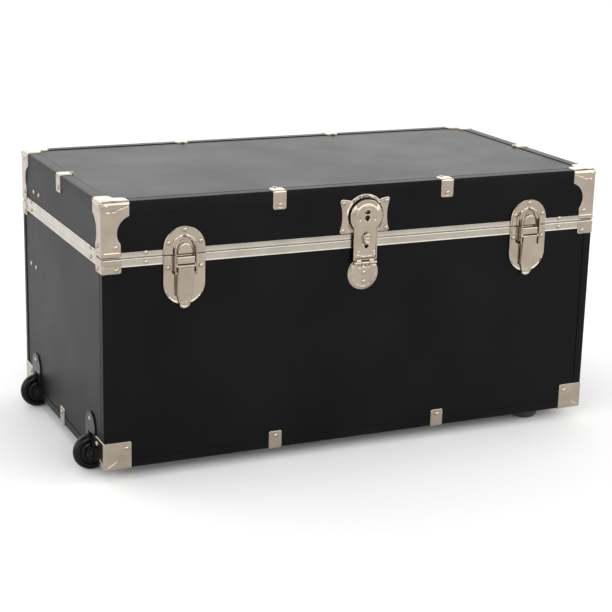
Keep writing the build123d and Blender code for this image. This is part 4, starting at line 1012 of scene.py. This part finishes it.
def lock_works():
    """Key plug behind the keyhole, thumb slide on the shank, disc under the hinge."""
    plane = on_wall("front", 0, SEAM)
    across = across_wall("front", 0, SEAM)
    mesh = bmesh.new()
    well = plane @ Matrix.Translation((0, BOSS + 1.0, 0))
    lathed(mesh, well, [(0, 5.2), (4.4, 5.2), (4.4, 7.6), (3.9, 8.1), (1.2, 8.1), (0.9, 7.0),
                        (0, 7.0)], 32)
    finish_piece("key_plug_barrel", mesh, "key_plug", ["lock_plug"], material=MOULDING)
    mesh = bmesh.new()
    oval = ellipse(6.0, 8.5, (0, 2.0))

    def knob_height(x, y, depth):
        far = np.hypot(x / 6.0, (y - 2.0) / 8.5)
        return 13.3 - 1.1 * hump(far, 0.0, 0.75) + 0.35 * np.cos(y * 2.4) * ease(
            far, 0.55, 0.45)

    stamping(mesh, plane, oval, knob_height, 10.1, 2.2, 0.7)
    stem = rounded([(-2.0, -0.5), (2.0, -0.5), (2.0, 4.5), (-2.0, 4.5)], [0.5] * 4)
    stamping(mesh, plane, stem, 10.4, 5.4, 0.3, 1.5)
    finish_piece("thumb_slide_button", mesh, "thumb_slide", ["lock_slide"])
    mesh = bmesh.new()
    circle = arc((0, DISC_UP), DISC_RADIUS, 0, 360, 1.3)[:-1]

    def disc_height(x, y, depth):
        far = np.hypot(x, y - DISC_UP)
        bevel = 1.2 + 2.0 * np.clip((DISC_RADIUS - 0.6 - far) / 4.6, 0, 1)
        groove = -0.5 * hump(far, 18.0, 0.7)
        fan = np.arctan2(x, y + 40.0)
        ribs = 0.9 * np.clip(np.cos(fan * 14), 0, 1) * hump(y, -38.0, 6.5) * ease(
            np.abs(x), 12, 9)
        heart_point = 0.8 * ease(np.abs(x) + np.abs(y + 43.5) * 0.9, 5.6, 4.2)
        return bevel + groove + ribs + heart_point * ease(far, 18, 16)

    stamping(mesh, plane, circle, disc_height, 0.0, 0.8, 1.0)
    barrel(mesh, across @ Matrix.Translation((*HASP_PIVOT, 0)), 2.6, -6.0, 6.0, 0.4, 0.4)
    bar(mesh, across, [(1.5, -36.6), (7.6, -35.6), (7.6, -31.0), (1.5, -30.4)], -6.0, 6.0)
    finish_piece("lock_disc_pressing", mesh, "case", ["lock_base_disc"])


# Rivets, placed where the CAD rivets are
def solids_of(node):
    """The vertices of each separate solid in a CAD node, in millimetres, from left to right."""
    mesh = bmesh.new()
    mesh.from_mesh(frame["nodes"][node].data)
    bmesh.ops.remove_doubles(mesh, verts=mesh.verts, dist=1e-6)
    left = set(mesh.verts)
    solids = []
    while left:
        stack = [left.pop()]
        found = []
        while stack:
            vertex = stack.pop()
            found.append(tuple(vertex.co / MM))
            for edge in vertex.link_edges:
                other = edge.other_vert(vertex)
                if other in left:
                    left.remove(other)
                    stack.append(other)
        solids.append(np.array(found))
    mesh.free()
    return sorted(solids, key=lambda points: tuple(points.min(0).round(1)))


def rivet_frames(node):
    """A matrix per rivet whose origin is the head's seat and whose z points out."""
    frames = []
    for points in solids_of(node):
        low, high = points.min(0), points.max(0)
        axis = int(np.argmax(high - low))
        middle = (low + high) / 2
        others = [k for k in range(3) if k != axis]
        far = np.hypot(*(points[:, others] - middle[others]).T)
        seat = points[far > 0.95 * far.max(), axis].mean()
        sign = 1 if high[axis] - seat < seat - low[axis] else -1
        out = Vector((0, 0, 0))
        out[axis] = sign
        origin = Vector(middle)
        origin[axis] = seat
        side = UP.cross(out) if abs(out.z) < 0.5 else Vector((1, 0, 0))
        frames.append(frame_of(side, out.cross(side), out, origin))
    return frames


def rivet_groups():
    head = [(0, -1.0), (3.2, -1.0), (3.4, 0.1), (3.35, 0.45), (3.0, 0.95), (2.4, 1.4),
            (1.6, 1.72), (0.8, 1.86), (0, 1.9)]
    low_head = [(radius, 0.7 * rise) for radius, rise in head]
    for node, body in (("lid_trim_rivets", "lid"), ("lid_hardware_rivets", "lid"),
                       ("body_trim_rivets", "case"), ("body_hardware_rivets", "case")):
        mesh = bmesh.new()
        for matrix in rivet_frames(node):
            lathed(mesh, matrix, low_head if matrix.col[2].z > 0.5 else head, 20)
        finish_piece(node.replace("rivets", "rivet_heads"), mesh, body, [node], sharp=60)


# Wheels, feet and handle
def turned_across(centre):
    """A frame for a turned part whose axis runs from the back of the trunk to its front."""
    return frame_of(Vector((1, 0, 0)), Vector((0, 0, 1)), Vector((0, -1, 0)), centre)


def wheels():
    """Glossy tyres with rings moulded in their sides."""
    for node, body in (("wheel_front", "front_wheel"), ("wheel_back", "back_wheel")):
        low, high = box_mm(node)
        centre = (low + high) / 2
        radius, half = (high.z - low.z) / 2, (high.y - low.y) / 2
        side = [(3.1, half - 1.2), (4.6, half - 0.9), (7.6, half - 0.9), (8.2, half - 1.8),
                (9.6, half - 2.0), (10.2, half - 1.4), (12.4, half - 1.4), (13.0, half - 2.0),
                (16.6, half - 1.9), (17.6, half - 0.5), (18.8, half), (21.0, half - 0.3),
                (23.0, half - 1.2), (24.6, half - 2.8), (25.5, half - 4.8)]
        tread = [(radius, half - 6.8), (radius, 6.8 - half)]
        profile = [(3.1, 0.0)] + side + tread + [(r, -h) for r, h in side[::-1]] + [(3.1, 0.0)]
        mesh = bmesh.new()
        lathed(mesh, turned_across(centre), profile, 72)
        finish_piece(f"{body}_tyre", mesh, body, [node], "black_tyre", sharp=50)


def axle_ends():
    """Blackened axles with a low domed head at each end."""
    for number, points in enumerate(solids_of("wheel_axles"), 1):
        low, high = points.min(0), points.max(0)
        centre = Vector((low + high) / 2)
        half = (high[1] - low[1]) / 2
        end = [(2.9, half - 1.2), (4.2, half - 1.2), (4.2, half - 0.8), (3.6, half - 0.2),
               (2.2, half)]
        mesh = bmesh.new()
        profile = [(0, -half)] + [(r, -h) for r, h in end[::-1]] + end + [(0, half)]
        lathed(mesh, turned_across(centre), profile, 32)
        finish_piece(f"wheel_axle_{number}", mesh, "case", ["wheel_axles"], "steel_pin",
                     MOULDING)


def feet():
    """Round glide feet with a domed sole."""
    for number, points in enumerate(solids_of("glide_feet"), 1):
        low, high = points.min(0), points.max(0)
        radius = (high[0] - low[0]) / 2
        middle = Vector(((low[0] + high[0]) / 2, (low[1] + high[1]) / 2, low[2]))
        top = high[2] - low[2]
        profile = [(0, 0.0), (radius * 0.5, 0.0), (radius * 0.62, 0.3)]
        profile += [(radius * 0.62 + radius * 0.36 * math.sin(a),
                     0.3 + 10.5 * (1 - math.cos(a))) for a in
                    [math.radians(d) for d in range(10, 91, 10)]]
        profile += [(radius * 0.98, 13.5), (radius, 14.2), (radius, top - 0.6),
                    (radius - 0.6, top), (0, top)]
        mesh = bmesh.new()
        lathed(mesh, Matrix.Translation(middle), profile, 64)
        finish_piece(f"glide_foot_{number}", mesh, "case", ["glide_feet"], "dark_foot")


def handle_parts():
    """A ribbed moulded grip between the two arms."""
    low, high = box_mm("handle_grip")
    centre = (low + high) / 2
    radius, half = (high.z - low.z) / 2, (high.y - low.y) / 2
    profile = [(0, -half), (radius - 3.0, -half), (radius - 0.8, -half + 1.2),
               (radius, -half + 3.5)]
    span, steps = half - 12, 64
    profile.append((radius, -span - 2))
    for k in range(steps + 1):
        profile.append((radius - 0.7 - 0.6 * math.cos(math.pi * k / 2),
                        -span + 2 * span * k / steps))
    profile += [(radius, span + 2), (radius, half - 3.5), (radius - 0.8, half - 1.2),
                (radius - 3.0, half), (0, half)]
    mesh = bmesh.new()
    lathed(mesh, turned_across(centre), profile, 48)
    finish_piece("handle_grip_moulding", mesh, "handle", ["handle_grip"], "grip_black", sharp=60)


# CAD nodes that stay: their shapes are right, so they get a finish and softened edges
def finish_cad_nodes():
    slots = {row["node"]: row["material_slot"] for row in frame["record"]["subparts"]}
    for name, node in frame["nodes"].items():
        slot = slots[name]
        material = RAIL_NICKEL if name.endswith("_rail") else SLOTS[slot]
        node.data.materials.clear()
        node.data.materials.append(material)
        bevel = node.modifiers.new("edges", "BEVEL")
        bevel.width = 0.0004
        bevel.segments = 2
        bevel.limit_method = "ANGLE"
        bevel.angle_limit = math.radians(40)
        bevel.use_clamp_overlap = True


# Camera, floor and light
def camera():
    data = bpy.data.cameras.new("camera")
    data.lens = 94.5
    data.sensor_width = 36.0
    data.clip_end = 50.0
    made = bpy.data.objects.new("camera", data)
    right = Vector((0.91091, -0.41192, 0.02369)).normalized()
    back = -Vector((0.40219, 0.87366, -0.27379)).normalized()
    made.matrix_world = frame_of(right, back.cross(right), back,
                                 Vector((-0.9888, -2.1569, 0.8372)))
    bpy.context.scene.collection.objects.link(made)
    bpy.context.scene.camera = made


def area_light(name, place, target, size, power):
    data = bpy.data.lights.new(name, "AREA")
    data.shape = "RECTANGLE"
    data.size, data.size_y = size
    data.energy = power
    lamp = bpy.data.objects.new(name, data)
    lamp.location = place
    lamp.rotation_euler = (Vector(target) - Vector(place)).to_track_quat("-Z", "Y").to_euler()
    bpy.context.scene.collection.objects.link(lamp)


def world_light(tree):
    """Bright all round above the horizon and most of all in front, with a dark top and spot."""
    place = tree.nodes.new("ShaderNodeTexCoord").outputs["Generated"]

    def towards(direction, low, high, start, end):
        dot = tree.nodes.new("ShaderNodeVectorMath")
        dot.operation = "DOT_PRODUCT"
        dot.inputs[1].default_value = Vector(direction).normalized()
        tree.links.new(place, dot.inputs[0])
        ramp = ranged(tree, dot.outputs["Value"], (low, high, start, end))
        ramp.interpolation_type = "SMOOTHSTEP"
        return ramp.outputs["Result"]

    def times(first, second):
        node = tree.nodes.new("ShaderNodeMath")
        node.operation = "MULTIPLY"
        tree.links.new(first, node.inputs[0])
        tree.links.new(second, node.inputs[1])
        return node.outputs["Value"]

    rise = towards(UP, -0.02, 0.10, 0.45, 1.0)
    overhead = towards(UP, 0.50, 0.82, 1.0, 0.12)
    front = towards((0.1, -1.0, 0.1), -0.2, 0.6, 2.05, 3.2)
    dark = towards((-0.42, -0.80, 0.20), 0.94, 0.99, 1.0, 0.05)
    return times(times(rise, overhead), times(front, dark))


def studio():
    mesh = bmesh.new()
    bmesh.ops.create_grid(mesh, x_segments=1, y_segments=1, size=40.0)
    data = bpy.data.meshes.new("floor")
    mesh.to_mesh(data)
    mesh.free()
    nodes = Nodes("pale_floor")
    shade = nodes.mix(nodes.between(nodes.noise(2.0), 0.3, 0.7), grey(0.84), grey(0.85))
    data.materials.append(nodes.set(Base_Color=shade, Roughness=0.9, Specular_IOR_Level=0.1))
    floor = bpy.data.objects.new("floor", data)
    bpy.context.scene.collection.objects.link(floor)
    world = bpy.data.worlds.new("studio")
    world.use_nodes = True
    tree = world.node_tree
    tree.links.new(world_light(tree), tree.nodes["Background"].inputs["Strength"])
    tree.nodes["Background"].inputs["Color"].default_value = (1, 1, 1, 1)
    bpy.context.scene.world = world
    area_light("behind_soft", (-0.9, 1.3, 2.0), (-0.2, 0.2, 0.0), (2.4, 1.8), 10)
    area_light("top_soft", (0.0, -0.1, 2.6), (0, 0, 0), (2.0, 1.4), 12)
    bpy.context.scene.view_settings.view_transform = "Standard"


# The object
camera()
studio()
finish_cad_nodes()
edge_bindings("lid_binding", "lid", "lid_edge_bindings", TOP, 16.5, LID_CAP_REACH - 1, 1)
WHEEL_GAPS = [(y - HOUSING_HALF, y + HOUSING_HALF) for y in (-WHEEL_Y, WHEEL_Y)]
edge_bindings("base_binding", "case", "base_edge_bindings", BASE, 11.5, BASE_CAP_REACH - 1, -1,
              WHEEL_GAPS)
rails()
corner_posts()
lid_caps()
base_caps()
seam_corners()
clamps()
latches()
strike_plate()
hasp()
lock_works()
rivet_groups()
wheels()
axle_ends()
feet()
handle_parts()
